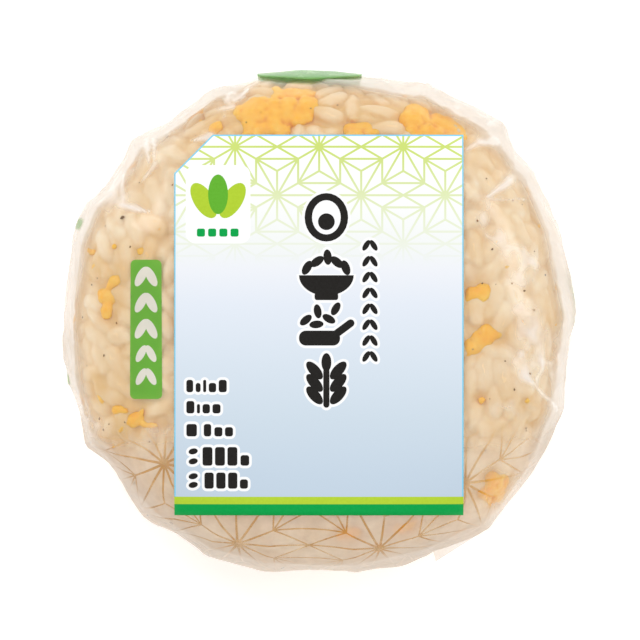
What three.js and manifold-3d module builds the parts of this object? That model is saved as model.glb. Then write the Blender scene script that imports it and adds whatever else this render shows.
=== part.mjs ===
// A round rice ball with egg in it, shut in a clear film, lying on its back with its front up.
// Millimetres. +Z is up, out of the front; +Y is the top of the label; the origin is on the
// surface that the pack lies on, under the middle of the pack.
import * as THREE from "three";
import { mergeVertices } from "three/addons/utils/BufferGeometryUtils.js";
import Module from "manifold-3d";

const wasm = await Module();
wasm.setup();

// The pack
const PACK_WIDTH = 82.7;
const PACK_DEPTH = 35;
const MIDDLE_HEIGHT = 17; // of the widest level
const FRONT_DOME = 1.3; // how much lower the front is at its rim than a flat one
const FRONT_POWER = 7;
const BACK_POWER = 6;
const SHOULDER_POWER = 2.2;
const BACK_SUNK = 0.4; // cut off below the rest face, which makes that face flat
const REST_REACH = 28;
const PACK_DETAIL = 24;
const LEVEL_SPREAD = { turn: 1.12, rise: 0.86 }; // spaces the levels evenly from middle to rim

// The film is taut between its corners. Each is an angle in degrees, counted from +X towards +Y,
// and a reach from the middle as a share of half the width.
const FILM_CORNERS = [
  [2, 0.997],
  [22, 1.002],
  [35, 1.022],
  [48, 1.036],
  [65, 1.022],
  [80, 0.974],
  [104.5, 0.992],
  [110, 0.978],
  [115, 1.0],
  [127, 0.981],
  [136, 1.019],
  [148, 0.995],
  [153, 1.024],
  [162, 1.022],
  [180, 0.998],
  [193, 1.012],
  [208, 1.034],
  [216, 0.997],
  [228, 1.022],
  [244, 1.012],
  [257, 0.993],
  [270, 0.973],
  [278, 0.988],
  [294, 1.008],
  [309, 1.041],
  [325, 1.015],
  [340, 1.012],
];

// A loose corner of the film, which stands out at the lower right
const EAR = { from: 295.7, to: 309, reach: 43.1, root: 35, height: 13, thick: 0.5 };

// Rice and egg, which the film follows less closely round the rim
const GRAIN = { length: 7.2, width: 3.5, relief: 0.85, spacing: 3.7, tries: 9000 };
const CURD_RELIEF = 1.0;
const CURD_SKIRT = 0.8; // the film slopes down this far round a curd
const RIM_CLING = 0.4;
const RIM_FROM = 35;
const BUMP_DEPTH = 4; // a bump acts only this near to the surface that it sits on
// Egg curds that show at the front: place, half length, half width in mm, and turn in degrees
const CURDS = [
  { x: -6.2, y: 35.2, a: 4.6, b: 3.6, turn: 10 },
  { x: -11.2, y: 33.4, a: 3.2, b: 2.8, turn: 60 },
  { x: 17.8, y: 32.6, a: 5.2, b: 3.6, turn: -25 },
  { x: 6.8, y: 31.6, a: 2.9, b: 2.0, turn: 0 },
  { x: 25.0, y: 4.0, a: 3.2, b: 1.5, turn: 25 },
  { x: 25.6, y: -3.0, a: 3.8, b: 1.9, turn: 30 },
  { x: 38.3, y: -1.0, a: 2.0, b: 1.0, turn: 80 },
  { x: -38.2, y: 12.3, a: 1.6, b: 1.2, turn: 70 },
  { x: -36.9, y: 9.3, a: 1.2, b: 1.1, turn: 0 },
  { x: -32.8, y: 6.6, a: 2.4, b: 1.0, turn: 55 },
  { x: -34.9, y: 2.4, a: 2.6, b: 1.3, turn: 75 },
  { x: -35.8, y: -12.4, a: 2.8, b: 1.1, turn: 105 },
  { x: -31.0, y: -15.4, a: 3.4, b: 1.3, turn: -30 },
  { x: -33.4, y: -20.2, a: 1.3, b: 0.8, turn: 110 },
  { x: 28.9, y: -27.6, a: 3.6, b: 2.8, turn: 40 },
  { x: 4.5, y: -34.6, a: 2.6, b: 1.4, turn: 10 },
];

// Gathers of the film round the back
const GATHERS = 34;
const GATHER_DEPTH = 1.1;
const GATHER_SPAN = { from: 0.54, full: 0.64, fade: 0.7, to: 0.8 }; // 0.5 is the rim, 1 the back

// The label, a sticker with one corner cut off
const LABEL = {
  left: -23.45,
  right: 23.05,
  top: 30.0,
  bottom: -31.2,
  cut: 6.2,
  gap: 0.35,
  thick: 0.28,
  stiffReach: 43.1, // the round that the sticker bends to, wider than the film's own
  columns: 16,
  rows: 22,
};

// The green seal tape, which comes round from the back over the top edge
const TAPE = {
  middleX: -1.7,
  width: 16.8,
  filmLine: 39.5, // the film's reach under it
  frontLine: 38.8, // how far up the front its edge reaches, at its middle and less at its ends
  frontSlant: 0.3,
  frontHeight: 27, // the film is smooth from here down
  backReach: 33,
  gap: 0.3,
  bulge: 0.5,
  thick: 0.3,
  columns: 8,
  rows: 12,
};

// How far outside a sticker the film is still smooth, and where it has its full relief again
const SMOOTH_MARGIN = { from: 0.4, to: 1.8 };
const SMOOTH_SUNK = 0.1;

const HALF_WIDTH = PACK_WIDTH / 2;

function seeded(seed) {
  let state = seed;
  return () => {
    state = (state + 0x6d2b79f5) | 0;
    let t = Math.imul(state ^ (state >>> 15), 1 | state);
    t = (t + Math.imul(t ^ (t >>> 7), 61 | t)) ^ t;
    return ((t ^ (t >>> 14)) >>> 0) / 4294967296;
  };
}

const radians = (degrees) => (degrees * Math.PI) / 180;
const clamp01 = (x) => Math.min(1, Math.max(0, x));

function smooth(from, to, x) {
  const t = clamp01((x - from) / (to - from));
  return t * t * (3 - 2 * t);
}

// The film's reach at an angle: the straight line between the two corners beside it
function filmReach(angle) {
  const degrees = ((((angle * 180) / Math.PI) % 360) + 360) % 360;
  const last = FILM_CORNERS.length - 1;
  let next = FILM_CORNERS.findIndex(([at]) => at > degrees);
  if (next === -1) next = 0;
  const [fromAt, fromReach] = FILM_CORNERS[next === 0 ? last : next - 1];
  const [toAt, toReach] = FILM_CORNERS[next];
  const whole = radians((toAt - fromAt + 360) % 360);
  const part = radians((degrees - fromAt + 360) % 360);
  const line = fromReach * Math.sin(part) + toReach * Math.sin(whole - part);
  return (HALF_WIDTH * fromReach * toReach * Math.sin(whole)) / line;
}

// Height of the front at a point, for an outline of that reach
function frontHeight(x, y, reach) {
  const share = Math.min(1, Math.hypot(x, y) / reach);
  const shoulder = Math.pow(1 - Math.pow(share, FRONT_POWER), 1 / SHOULDER_POWER);
  const rise = PACK_DEPTH - MIDDLE_HEIGHT;
  return MIDDLE_HEIGHT + rise * shoulder - FRONT_DOME * share * share * shoulder;
}

// The pack's surface without relief. along runs from 0 at the front's middle to 1 at the back's.
function packPoint(angle, along, out) {
  const reach = filmReach(angle);
  const front = along < 0.5;
  const t = front ? along * 2 : (1 - along) * 2;
  const power = front ? FRONT_POWER : BACK_POWER;
  // A quarter of a superellipse, spaced evenly enough along its length
  const quarter = (Math.PI / 2) * Math.pow(t, LEVEL_SPREAD.turn);
  const share = Math.pow(Math.sin(quarter), LEVEL_SPREAD.rise);
  const fall = Math.pow(1 - Math.pow(share, power), 1 / SHOULDER_POWER);
  const x = reach * share * Math.cos(angle);
  const y = reach * share * Math.sin(angle);
  const back = MIDDLE_HEIGHT - (MIDDLE_HEIGHT + BACK_SUNK) * fall;
  return out.set(x, y, front ? frontHeight(x, y, reach) : back);
}

const probe = { a: new THREE.Vector3(), b: new THREE.Vector3(), c: new THREE.Vector3() };
function packNormal(angle, along) {
  const step = 0.004;
  const low = Math.max(0.002, along - step);
  const high = Math.min(0.998, along + step);
  packPoint(angle - step, along, probe.a);
  packPoint(angle + step, along, probe.b);
  const round = probe.b.clone().sub(probe.a);
  packPoint(angle, low, probe.a);
  packPoint(angle, high, probe.b);
  const down = probe.b.clone().sub(probe.a);
  return down.cross(round).normalize();
}

// 1 where the film is free to follow rice and egg, 0 under the label and the tape
function bareOf(point) {
  const inX = Math.max(LABEL.left - point.x, point.x - LABEL.right);
  const inY = Math.max(LABEL.bottom - point.y, point.y - LABEL.top);
  const { from, to } = SMOOTH_MARGIN;
  const label = point.z > MIDDLE_HEIGHT ? smooth(from, to, Math.max(inX, inY)) : 1;
  const beside = smooth(from, to, Math.abs(point.x - TAPE.middleX) - TAPE.width / 2);
  const taped = point.y > TAPE.backReach - to && point.z < TAPE.frontHeight;
  return Math.min(label, taped ? beside : 1);
}

// A rounded bump of half sizes a and b, turned in the surface's own plane
function bump(point, at) {
  const away = probe.c.copy(point).sub(at.middle);
  if (Math.abs(away.dot(at.normal)) > BUMP_DEPTH) return 0;
  const u = away.dot(at.long) / at.a;
  const v = away.dot(at.wide) / at.b;
  return Math.sqrt(Math.max(0, 1 - u * u - v * v)) * at.relief;
}

function placed(middle, normal, turn, a, b, relief) {
  const side = Math.abs(normal.z) > 0.6 ? new THREE.Vector3(0, 1, 0) : new THREE.Vector3(0, 0, 1);
  const across = side.cross(normal).normalize();
  const up = normal.clone().cross(across);
  const long = across
    .clone()
    .multiplyScalar(Math.cos(turn))
    .addScaledVector(up, Math.sin(turn));
  const wide = normal.clone().cross(long);
  return { middle, normal, long, wide, a, b, relief };
}

// Grains lie at random over the whole surface, no two middles closer than the spacing
function layGrains() {
  const random = seeded(41);
  const grains = [];
  for (let i = 0; i < GRAIN.tries; i += 1) {
    const angle = random() * 2 * Math.PI;
    const along = random();
    const turn = random() * Math.PI;
    const size = 0.88 + 0.24 * random();
    const middle = packPoint(angle, along, new THREE.Vector3());
    if (random() > Math.hypot(middle.x, middle.y) / HALF_WIDTH) continue;
    if (grains.some((g) => g.middle.distanceTo(middle) < GRAIN.spacing)) continue;
    const normal = packNormal(angle, along);
    const a = (GRAIN.length / 2) * size;
    const b = (GRAIN.width / 2) * size;
    grains.push(placed(middle, normal, turn, a, b, GRAIN.relief * size));
  }
  return grains;
}

// Where along the pack a condition on its surface is met, found by halving
function alongWhere(angle, from, to, met) {
  let [low, high] = [from, to];
  for (let i = 0; i < 30; i += 1) {
    const half = (low + high) / 2;
    if (met(packPoint(angle, half, probe.a))) high = half;
    else low = half;
  }
  return high;
}

function layCurds() {
  return CURDS.map((curd) => {
    const angle = Math.atan2(curd.y, curd.x);
    const reach = Math.hypot(curd.x, curd.y);
    const along = alongWhere(angle, 0, 0.5, (p) => Math.hypot(p.x, p.y) > reach);
    const middle = packPoint(angle, along, new THREE.Vector3());
    const a = curd.a + CURD_SKIRT;
    const b = curd.b + CURD_SKIRT;
    return placed(middle, packNormal(angle, along), radians(curd.turn), a, b, CURD_RELIEF);
  });
}

// How closely the film follows what it holds: less round the rim, and not at all where it lies
function clingAt(point) {
  const reach = Math.hypot(point.x, point.y);
  const rim = 1 - smooth(RIM_FROM, HALF_WIDTH, reach) * (1 - RIM_CLING);
  const lying = point.z < MIDDLE_HEIGHT ? smooth(REST_REACH - 2, REST_REACH + 3, reach) : 1;
  return rim * lying;
}

// Film gathered round the back: a sawtooth of pleats that deepen towards the back's rim
function gather(angle, along) {
  const { from, full, fade, to } = GATHER_SPAN;
  const level = smooth(from, full, along) * (1 - smooth(fade, to, along));
  const wander = 0.5 * Math.sin(3 * angle + 1) + 0.3 * Math.sin(7 * angle);
  const phase = (GATHERS * angle) / (2 * Math.PI) + wander;
  return -GATHER_DEPTH * level * (phase - Math.floor(phase));
}

function packGeometry() {
  const ball = new THREE.IcosahedronGeometry(1, PACK_DETAIL);
  ball.deleteAttribute("normal");
  ball.deleteAttribute("uv");
  const geometry = mergeVertices(ball, 1e-5);
  const grains = layGrains();
  const curds = layCurds();
  const place = geometry.getAttribute("position");
  const point = new THREE.Vector3();
  for (let i = 0; i < place.count; i += 1) {
    point.fromBufferAttribute(place, i).normalize();
    const along = Math.acos(THREE.MathUtils.clamp(point.z, -1, 1)) / Math.PI;
    const angle = Math.atan2(point.y, point.x);
    const normal = packNormal(angle, along);
    packPoint(angle, along, point);
    const grain = Math.max(...grains.map((g) => bump(point, g)));
    const curd = Math.max(...curds.map((c) => bump(point, c)));
    const relief = Math.max(grain, curd) - GRAIN.relief;
    const bare = bareOf(point);
    const rough = relief * clingAt(point) + gather(angle, along);
    point.addScaledVector(normal, bare * rough - (1 - bare) * SMOOTH_SUNK);
    place.setXYZ(i, point.x, point.y, point.z);
  }
  return geometry;
}

function solidOf(geometry) {
  const bare = geometry.index ? geometry.toNonIndexed() : geometry.clone();
  bare.deleteAttribute("normal");
  bare.deleteAttribute("uv");
  const merged = mergeVertices(bare, 1e-4);
  return new wasm.Manifold(
    new wasm.Mesh({
      numProp: 3,
      vertProperties: new Float32Array(merged.getAttribute("position").array),
      triVerts: new Uint32Array(merged.index.array),
    }),
  );
}

function geometryOf(solid) {
  const mesh = solid.getMesh();
  const geometry = new THREE.BufferGeometry();
  geometry.setAttribute("position", new THREE.BufferAttribute(mesh.vertProperties, 3));
  geometry.setIndex(new THREE.BufferAttribute(mesh.triVerts, 1));
  geometry.computeVertexNormals();
  return geometry;
}

function atAngle(degrees, reach) {
  return new THREE.Vector2(reach * Math.cos(radians(degrees)), reach * Math.sin(radians(degrees)));
}

function earGeometry() {
  const middle = (EAR.from + EAR.to) / 2;
  const shape = new THREE.Shape([
    atAngle(EAR.from, EAR.reach),
    atAngle(EAR.to, EAR.reach),
    atAngle(middle, EAR.root),
  ]);
  const ear = new THREE.ExtrudeGeometry(shape, { depth: EAR.thick, bevelEnabled: false });
  return ear.translate(0, 0, EAR.height);
}

// The pack is cut flat where it lies on its back
function makePack() {
  const cut = solidOf(packGeometry()).trimByPlane([0, 0, 1], 0);
  return geometryOf(cut.add(solidOf(earGeometry())));
}

// A thin solid: a grid of points, and the same grid moved out along the surface's normals
function sheetGeometry(columns, rows, pointAt) {
  const places = [];
  const faces = [];
  const wide = columns + 1;
  const count = wide * (rows + 1);
  for (const face of ["inner", "outer"]) {
    for (let j = 0; j <= rows; j += 1) {
      for (let i = 0; i <= columns; i += 1) {
        places.push(...pointAt(i / columns, j / rows, face).toArray());
      }
    }
  }
  const at = (i, j, layer) => layer * count + j * wide + i;
  for (let j = 0; j < rows; j += 1) {
    for (let i = 0; i < columns; i += 1) {
      const corners = [at(i, j, 1), at(i + 1, j, 1), at(i + 1, j + 1, 1), at(i, j + 1, 1)];
      const [a, b, c, d] = corners;
      faces.push(a, b, c, a, c, d);
      faces.push(a - count, c - count, b - count, a - count, d - count, c - count);
    }
  }
  const rim = [];
  for (let i = 0; i < columns; i += 1) rim.push([i, 0]);
  for (let j = 0; j < rows; j += 1) rim.push([columns, j]);
  for (let i = columns; i > 0; i -= 1) rim.push([i, rows]);
  for (let j = rows; j > 0; j -= 1) rim.push([0, j]);
  rim.forEach(([i, j], k) => {
    const [ni, nj] = rim[(k + 1) % rim.length];
    const [a, b] = [at(i, j, 0), at(ni, nj, 0)];
    faces.push(a, b, b + count, a, b + count, a + count);
  });
  const geometry = new THREE.BufferGeometry();
  geometry.setAttribute("position", new THREE.Float32BufferAttribute(places, 3));
  geometry.setIndex(faces);
  geometry.computeVertexNormals();
  return geometry;
}

function makeLabel() {
  const lower = LABEL.top - LABEL.cut;
  const cutRows = Math.round((LABEL.rows * LABEL.cut) / (LABEL.top - LABEL.bottom));
  const edge = 1 - cutRows / LABEL.rows;
  return sheetGeometry(LABEL.columns, LABEL.rows, (u, v, face) => {
    const above = v > edge ? (v - edge) / (1 - edge) : 0;
    const y =
      v > edge
        ? THREE.MathUtils.lerp(lower, LABEL.top, above)
        : THREE.MathUtils.lerp(LABEL.bottom, lower, v / edge);
    const x = THREE.MathUtils.lerp(LABEL.left + LABEL.cut * above, LABEL.right, u);
    const off = LABEL.gap + (face === "outer" ? LABEL.thick : 0);
    return new THREE.Vector3(x, y, frontHeight(x, y, LABEL.stiffReach) + off);
  });
}

function makeTape() {
  return sheetGeometry(TAPE.columns, TAPE.rows, (u, v, face) => {
    const x = TAPE.middleX + TAPE.width * (u - 0.5);
    const angle = Math.atan2(TAPE.filmLine, x);
    const line = TAPE.frontLine + TAPE.frontSlant * Math.abs(2 * u - 1);
    const start = alongWhere(angle, 0, 0.5, (p) => p.y > line);
    const end = alongWhere(angle, 0.5, 1, (p) => Math.hypot(p.x, p.y) < TAPE.backReach);
    const along = THREE.MathUtils.lerp(start, end, v);
    const bulge = TAPE.bulge * Math.sin(Math.PI * v) * Math.sin(Math.PI * u);
    const off = TAPE.gap + bulge + (face === "outer" ? TAPE.thick : 0);
    const point = packPoint(angle, along, new THREE.Vector3());
    return point.addScaledVector(packNormal(angle, along), off);
  });
}

const plastic = (color, roughness) =>
  new THREE.MeshStandardMaterial({ color, roughness, metalness: 0, side: THREE.FrontSide });

const part = new THREE.Group();

function addNode(name, geometry, material) {
  const mesh = new THREE.Mesh(geometry, material);
  mesh.name = name;
  part.add(mesh);
}

// The whole is set over the origin, because the film's corners reach out unevenly
function centre(group) {
  const middle = new THREE.Box3().setFromObject(group).getCenter(new THREE.Vector3());
  group.children.forEach((mesh) => mesh.geometry.translate(-middle.x, -middle.y, 0));
}

addNode("wrapped_rice", makePack(), plastic(0xebd2b0, 0.35));
addNode("label", makeLabel(), plastic(0xe4ebf3, 0.55));
addNode("seal_tape", makeTape(), plastic(0x9fcf9f, 0.3));
centre(part);

export default part;
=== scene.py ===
# A round rice ball with egg, shut in a clear film, seen from above. Sizes in the functions are in
# millimetres, and become metres where a mesh is made.
import math
from itertools import product

import bpy
import numpy as np
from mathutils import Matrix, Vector, noise
from mathutils.geometry import delaunay_2d_cdt
from mathutils.kdtree import KDTree


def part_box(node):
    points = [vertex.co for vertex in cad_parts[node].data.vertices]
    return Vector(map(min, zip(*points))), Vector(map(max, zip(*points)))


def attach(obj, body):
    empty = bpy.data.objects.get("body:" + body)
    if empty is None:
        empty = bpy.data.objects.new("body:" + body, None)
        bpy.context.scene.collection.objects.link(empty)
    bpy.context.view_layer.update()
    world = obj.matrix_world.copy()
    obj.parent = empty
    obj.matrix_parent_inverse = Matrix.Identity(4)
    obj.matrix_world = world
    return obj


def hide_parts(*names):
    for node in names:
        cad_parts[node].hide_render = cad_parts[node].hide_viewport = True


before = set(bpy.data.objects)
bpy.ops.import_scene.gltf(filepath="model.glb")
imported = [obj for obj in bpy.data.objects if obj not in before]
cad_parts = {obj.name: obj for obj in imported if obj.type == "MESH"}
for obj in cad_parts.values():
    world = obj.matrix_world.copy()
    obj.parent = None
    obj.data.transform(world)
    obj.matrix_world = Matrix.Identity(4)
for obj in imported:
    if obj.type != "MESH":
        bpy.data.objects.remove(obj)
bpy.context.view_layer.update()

MM = 0.001

# Form of the pack
HALF_WIDTH = 41.35
DEPTH = 35.0
MIDDLE = 17.0
DOME = 1.3
FRONT_POWER, BACK_POWER, SHOULDER_POWER = 7.0, 6.0, 2.2
SUNK = 0.4
TURN, RISE = 1.12, 0.86

# The film is taut between corners: angle in degrees, reach as a share of half the width
CORNERS = np.array(
    [
        (2, 0.997), (22, 1.002), (35, 1.022), (48, 1.036), (65, 1.022), (80, 0.974),
        (104.5, 0.992), (110, 0.978), (115, 1.0), (127, 0.981), (136, 1.019), (148, 0.995),
        (153, 1.024), (162, 1.022), (180, 0.998), (193, 1.012), (208, 1.034), (216, 0.997),
        (228, 1.022), (244, 1.012), (257, 0.993), (270, 0.973), (278, 0.988), (294, 1.008),
        (309, 1.041), (325, 1.015), (340, 1.012),
    ]
)

# Free room between film and rice round the rim: angle in degrees, mm
ROOM = np.array(
    [(0, 1.6), (30, 1.8), (50, 1.7), (62, 2.0), (78, 1.8), (92, 0.5), (106, 0.5), (114, 1.3), (135, 1.7),
     (150, 1.8), (164, 1.6), (175, 1.2), (190, 1.2), (200, 0.9), (215, 0.9), (228, 1.3), (245, 1.0),
     (270, 0.7), (290, 1.0), (302, 1.0), (315, 0.5), (328, 0.9), (342, 1.7), (360, 1.6)]
)
TOUCH = 0.12

LABEL = {"left": -23.45, "right": 23.05, "top": 30.0, "bottom": -31.2, "cut": 6.2}
LABEL_REACH, LABEL_GAP, LABEL_THICK = 43.1, 0.35, 0.28

# The tape: the middle and width across, the front edge's and the back edge's place from the middle
TAPE_MIDDLE, TAPE_WIDTH, TAPE_LINE, TAPE_BACK = -1.7, 16.8, 38.9, 33
TAPE_OFF, TAPE_THICK = 0.3, 0.2

# How far a print stands off the film, and the large lump of egg at the lower right: x, y and radius
PRINT_OFF = 0.06
LOW_EGG = 29.5, -26.8, 4.6

# Where the part's own middle lies in these numbers
_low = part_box("label")[0] / MM
_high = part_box("label")[1] / MM
SHIFT = np.array([_low.x - LABEL["left"], _high.y - LABEL["top"], 0.0])


def smooth(low, high, x):
    """From 0 at low to 1 at high, with low above high as well as below it."""
    t = np.clip((x - low) / (high - low), 0, 1)
    return t * t * (3 - 2 * t)


def film_reach(angle):
    degrees = np.degrees(angle) % 360.0
    at, reach = CORNERS[:, 0], CORNERS[:, 1] * HALF_WIDTH
    after = np.searchsorted(at, degrees, side="right") % len(at)
    before = after - 1
    whole = np.radians((at[after] - at[before]) % 360.0)
    part = np.radians((degrees - at[before]) % 360.0)
    line = reach[before] * np.sin(part) + reach[after] * np.sin(whole - part)
    return reach[before] * reach[after] * np.sin(whole) / line


def front_height(x, y, reach):
    share = np.minimum(1, np.hypot(x, y) / reach)
    shoulder = (1 - share**FRONT_POWER) ** (1 / SHOULDER_POWER)
    return MIDDLE + (DEPTH - MIDDLE) * shoulder - DOME * share**2 * shoulder


def share_of(along):
    t = np.where(along < 0.5, along, 1 - along) * 2
    return np.sin(np.pi / 2 * t**TURN) ** RISE


def pack_point(angle, along):
    """The film's form without relief. along runs from 0 at the front's middle to 1 at the back's."""
    angle, along = np.broadcast_arrays(angle, along)
    reach, share, front = film_reach(angle), share_of(along), along < 0.5
    power = np.where(front, FRONT_POWER, BACK_POWER)
    fall = np.maximum(0, 1 - share**power) ** (1 / SHOULDER_POWER)
    rise = np.where(front, DEPTH - MIDDLE - DOME * share**2, -(MIDDLE + SUNK))
    across = reach * share
    return np.stack([across * np.cos(angle), across * np.sin(angle), MIDDLE + rise * fall], -1)


def pack_normal(angle, along):
    step = 0.004
    around = pack_point(angle + step, along) - pack_point(angle - step, along)
    after, before = np.minimum(0.998, along + step), np.maximum(0.002, along - step)
    normal = np.cross(pack_point(angle, after) - pack_point(angle, before), around)
    return normal / np.linalg.norm(normal, axis=-1, keepdims=True)


def off_form(angle, along, height):
    """Places at a height over the film's form."""
    return pack_point(angle, along) + pack_normal(angle, along) * height[..., None]


def front_along(share):
    """The along on the front where the film is at a share of its reach."""
    return (np.arcsin(share ** (1 / RISE)) / (np.pi / 2)) ** (1 / TURN) / 2


def on_front(x, y):
    """The angle and the along of a place on the front."""
    angle = np.arctan2(y, x)
    return angle, front_along(np.clip(np.hypot(x, y) / film_reach(angle), 0, 0.99999))


def level_of(z, share):
    """Whether places are on the front, the form's height from the middle there, and its power."""
    front = z > MIDDLE
    top = np.where(front, DEPTH - MIDDLE - DOME * share**2, MIDDLE + SUNK)
    return front, top, np.where(front, FRONT_POWER, BACK_POWER)


def depth_of(points):
    """How far points lie inside the film's form, and the way out."""
    x, y, z = np.moveaxis(points, -1, 0)
    r = np.maximum(1e-6, np.hypot(x, y))
    reach = film_reach(np.arctan2(y, x))
    q = r / reach
    _, top, power = level_of(z, np.minimum(1, q))
    level = np.abs(z - MIDDLE) / top
    g = q**power + level**SHOULDER_POWER - 1
    out = power * q ** (power - 1) / reach
    up = SHOULDER_POWER * level ** (SHOULDER_POWER - 1) / top * np.sign(z - MIDDLE)
    size = np.maximum(1e-4, np.hypot(out, up))
    return -g / size, np.stack([out * x / r, out * y / r, up], -1) / size[..., None]


def along_of(points):
    """The angle and the along of the nearest place on the film's form."""
    depth, normal = depth_of(points)
    x, y, z = np.moveaxis(points + normal * np.clip(depth, -3, 5)[..., None], -1, 0)
    angle = np.arctan2(y, x)
    q = np.clip(np.hypot(x, y) / film_reach(angle), 0, 1)
    front, top, power = level_of(z, q)
    level = np.clip(np.abs(z - MIDDLE) / top, 0, 1)
    share = np.where(level < 0.75, (1 - level**SHOULDER_POWER) ** (1 / power), q)
    half = front_along(np.clip(share, 0, 1))
    return angle, np.where(front, half, 1 - half)


def clear_top(points):
    """1 at the front above the label, where the film is so clear that each grain shows."""
    return smooth(29.5, 32.5, points[..., 1]) * (points[..., 2] > MIDDLE)


def in_label(x, y, inset):
    """Which places lie within the label's edges, by the inset at least."""
    across = (x > LABEL["left"] + inset) & (x < LABEL["right"] - inset)
    return across & (y > LABEL["bottom"] + inset) & (y < LABEL["top"] - inset)


def clung(points):
    """1 where the film clings to the large lump of egg at the lower right, falling to 0 round it."""
    away = np.hypot(points[..., 0] - LOW_EGG[0], points[..., 1] - LOW_EGG[1]) / LOW_EGG[2]
    return np.exp(-(away**2)) * (points[..., 2] > MIDDLE)


def room_at(angle, along):
    rim = np.interp(np.degrees(angle) % 360, ROOM[:, 0], ROOM[:, 1])
    return TOUCH + rim * smooth(0.31, 0.47, along) * (1 - smooth(0.6, 0.76, along))


def press(points, extra=0.0):
    """Moves what would stand out of the rice's room back in, so that it is flat against the film."""
    for _ in range(2):
        depth, normal = depth_of(points)
        over = np.maximum(0, room_at(*along_of(points)) + extra - depth)
        points = points - normal * (over * 0.92)[..., None]
    points[..., 2] = np.maximum(points[..., 2], 0.12 + 0.1 * (points[..., 2] > -5))
    return points


# Arc length from the front's middle, for what is printed on the flat film before it is wrapped
ARC_AT = np.linspace(0.0005, 0.9995, 4000)
_profile = pack_point(np.full(4000, math.radians(262)), ARC_AT)
ARC = np.concatenate([[0], np.cumsum(np.linalg.norm(np.diff(_profile, axis=0), axis=1))])


def srgb(*values):
    c = np.array(values) / 255.0
    return tuple(np.where(c <= 0.04045, c / 12.92, ((c + 0.055) / 1.055) ** 2.4).tolist())


# Meshes


def add_object(name, data):
    made = bpy.data.objects.new(name, data)
    bpy.context.scene.collection.objects.link(made)
    return made


def make_piece(name, points, faces, materials, node="wrapped_rice", which=None, **fields):
    """A piece from points in mm and triangles; which gives each triangle's material.

    Each field is a value for the materials, at each point or the same at all of them.
    """
    points = points + SHIFT
    mesh = bpy.data.meshes.new(name)
    mesh.vertices.add(len(points))
    mesh.vertices.foreach_set("co", (points * MM).ravel())
    mesh.loops.add(faces.size)
    mesh.loops.foreach_set("vertex_index", faces.astype(np.int32).ravel())
    mesh.polygons.add(len(faces))
    mesh.polygons.foreach_set("loop_start", np.arange(0, faces.size, 3, dtype=np.int32))
    mesh.polygons.foreach_set("loop_total", np.full(len(faces), 3, np.int32))
    for material in materials:
        mesh.materials.append(material)
    if which is not None:
        mesh.polygons.foreach_set("material_index", which.astype(np.int32))
    mesh.update(calc_edges=True)
    mesh.validate()
    mesh.polygons.foreach_set("use_smooth", np.full(len(mesh.polygons), True))
    for key, values in fields.items():
        attribute = mesh.attributes.new(key, "FLOAT", "POINT")
        attribute.data.foreach_set("value", np.broadcast_to(values, len(points)).astype(np.float32))
    piece = add_object(name, mesh)
    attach(piece, "root")
    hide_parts(node)


def ball(rings, sides):
    """A unit ball of rings along X: points and triangles."""
    points = [(1.0, 0.0, 0.0)]
    for i in range(1, rings):
        a = math.pi * i / rings
        for j in range(sides):
            b = 2 * math.pi * (j + 0.5 * (i % 2)) / sides
            points.append((math.cos(a), math.sin(a) * math.cos(b), math.sin(a) * math.sin(b)))
    points.append((-1.0, 0.0, 0.0))
    faces = []
    for j in range(sides):
        k = (j + 1) % sides
        faces.append((0, 1 + j, 1 + k))
        last = 1 + (rings - 2) * sides
        faces.append((len(points) - 1, last + k, last + j))
    for i in range(rings - 2):
        for j in range(sides):
            k = (j + 1) % sides
            a, b = 1 + i * sides + j, 1 + i * sides + k
            c, d = a + sides, b + sides
            if i % 2:
                faces += [(a, c, b), (b, c, d)]
            else:
                faces += [(a, d, b), (a, c, d)]
    return np.array(points), np.array(faces)


def fuse(parts, voxel, share):
    """One closed surface round all the given closed parts, with a share of its triangles kept."""
    points = np.concatenate([p for p, _ in parts])
    starts = np.cumsum([0] + [len(p) for p, _ in parts[:-1]])
    faces = np.concatenate([f + start for (_, f), start in zip(parts, starts)])
    mesh = bpy.data.meshes.new("fuse")
    mesh.from_pydata((points * MM).tolist(), [], faces.tolist())
    piece = add_object("fuse", mesh)
    remesh = piece.modifiers.new("fuse", "REMESH")
    remesh.mode = "VOXEL"
    remesh.voxel_size = voxel * MM
    piece.modifiers.new("fewer", "DECIMATE").ratio = share
    made = piece.evaluated_get(bpy.context.evaluated_depsgraph_get()).to_mesh()
    made.calc_loop_triangles()
    co = np.zeros(len(made.vertices) * 3)
    made.vertices.foreach_get("co", co)
    triangles = np.zeros(len(made.loop_triangles) * 3, np.int32)
    made.loop_triangles.foreach_get("vertices", triangles)
    bpy.data.objects.remove(piece)
    bpy.data.meshes.remove(mesh)
    return co.reshape(-1, 3) / MM, triangles.reshape(-1, 3)


def relax(points, faces, times, share=0.5):
    """Evens a surface out, each point towards the middle of its neighbours."""
    a = np.concatenate([faces[:, 0], faces[:, 1], faces[:, 2]])
    b = np.concatenate([faces[:, 1], faces[:, 2], faces[:, 0]])
    count = np.bincount(a, minlength=len(points))[:, None]
    for _ in range(times):
        total = np.stack([np.bincount(a, points[b, k], len(points)) for k in range(3)], 1)
        points = points + share * (total / np.maximum(1, count) - points)
    return points


def normals_of(points, faces):
    """Each point's way out, from the triangles round it."""
    a, b, c = (points[faces[:, k]] for k in range(3))
    face = np.cross(b - a, c - a)
    total = np.zeros_like(points)
    for k in range(3):
        for axis in range(3):
            total[:, axis] += np.bincount(faces[:, k], face[:, axis], len(points))
    return total / np.maximum(1e-9, np.linalg.norm(total, axis=1, keepdims=True))


def noise_grid(points, scale, seed):
    """Smooth noise at each point, with scale in lumps for each mm."""
    flat = points.reshape(-1, 3) * scale + seed * 13.7
    values = [noise.noise(Vector(p)) for p in flat]
    return np.array(values).reshape(points.shape[:-1])


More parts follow.
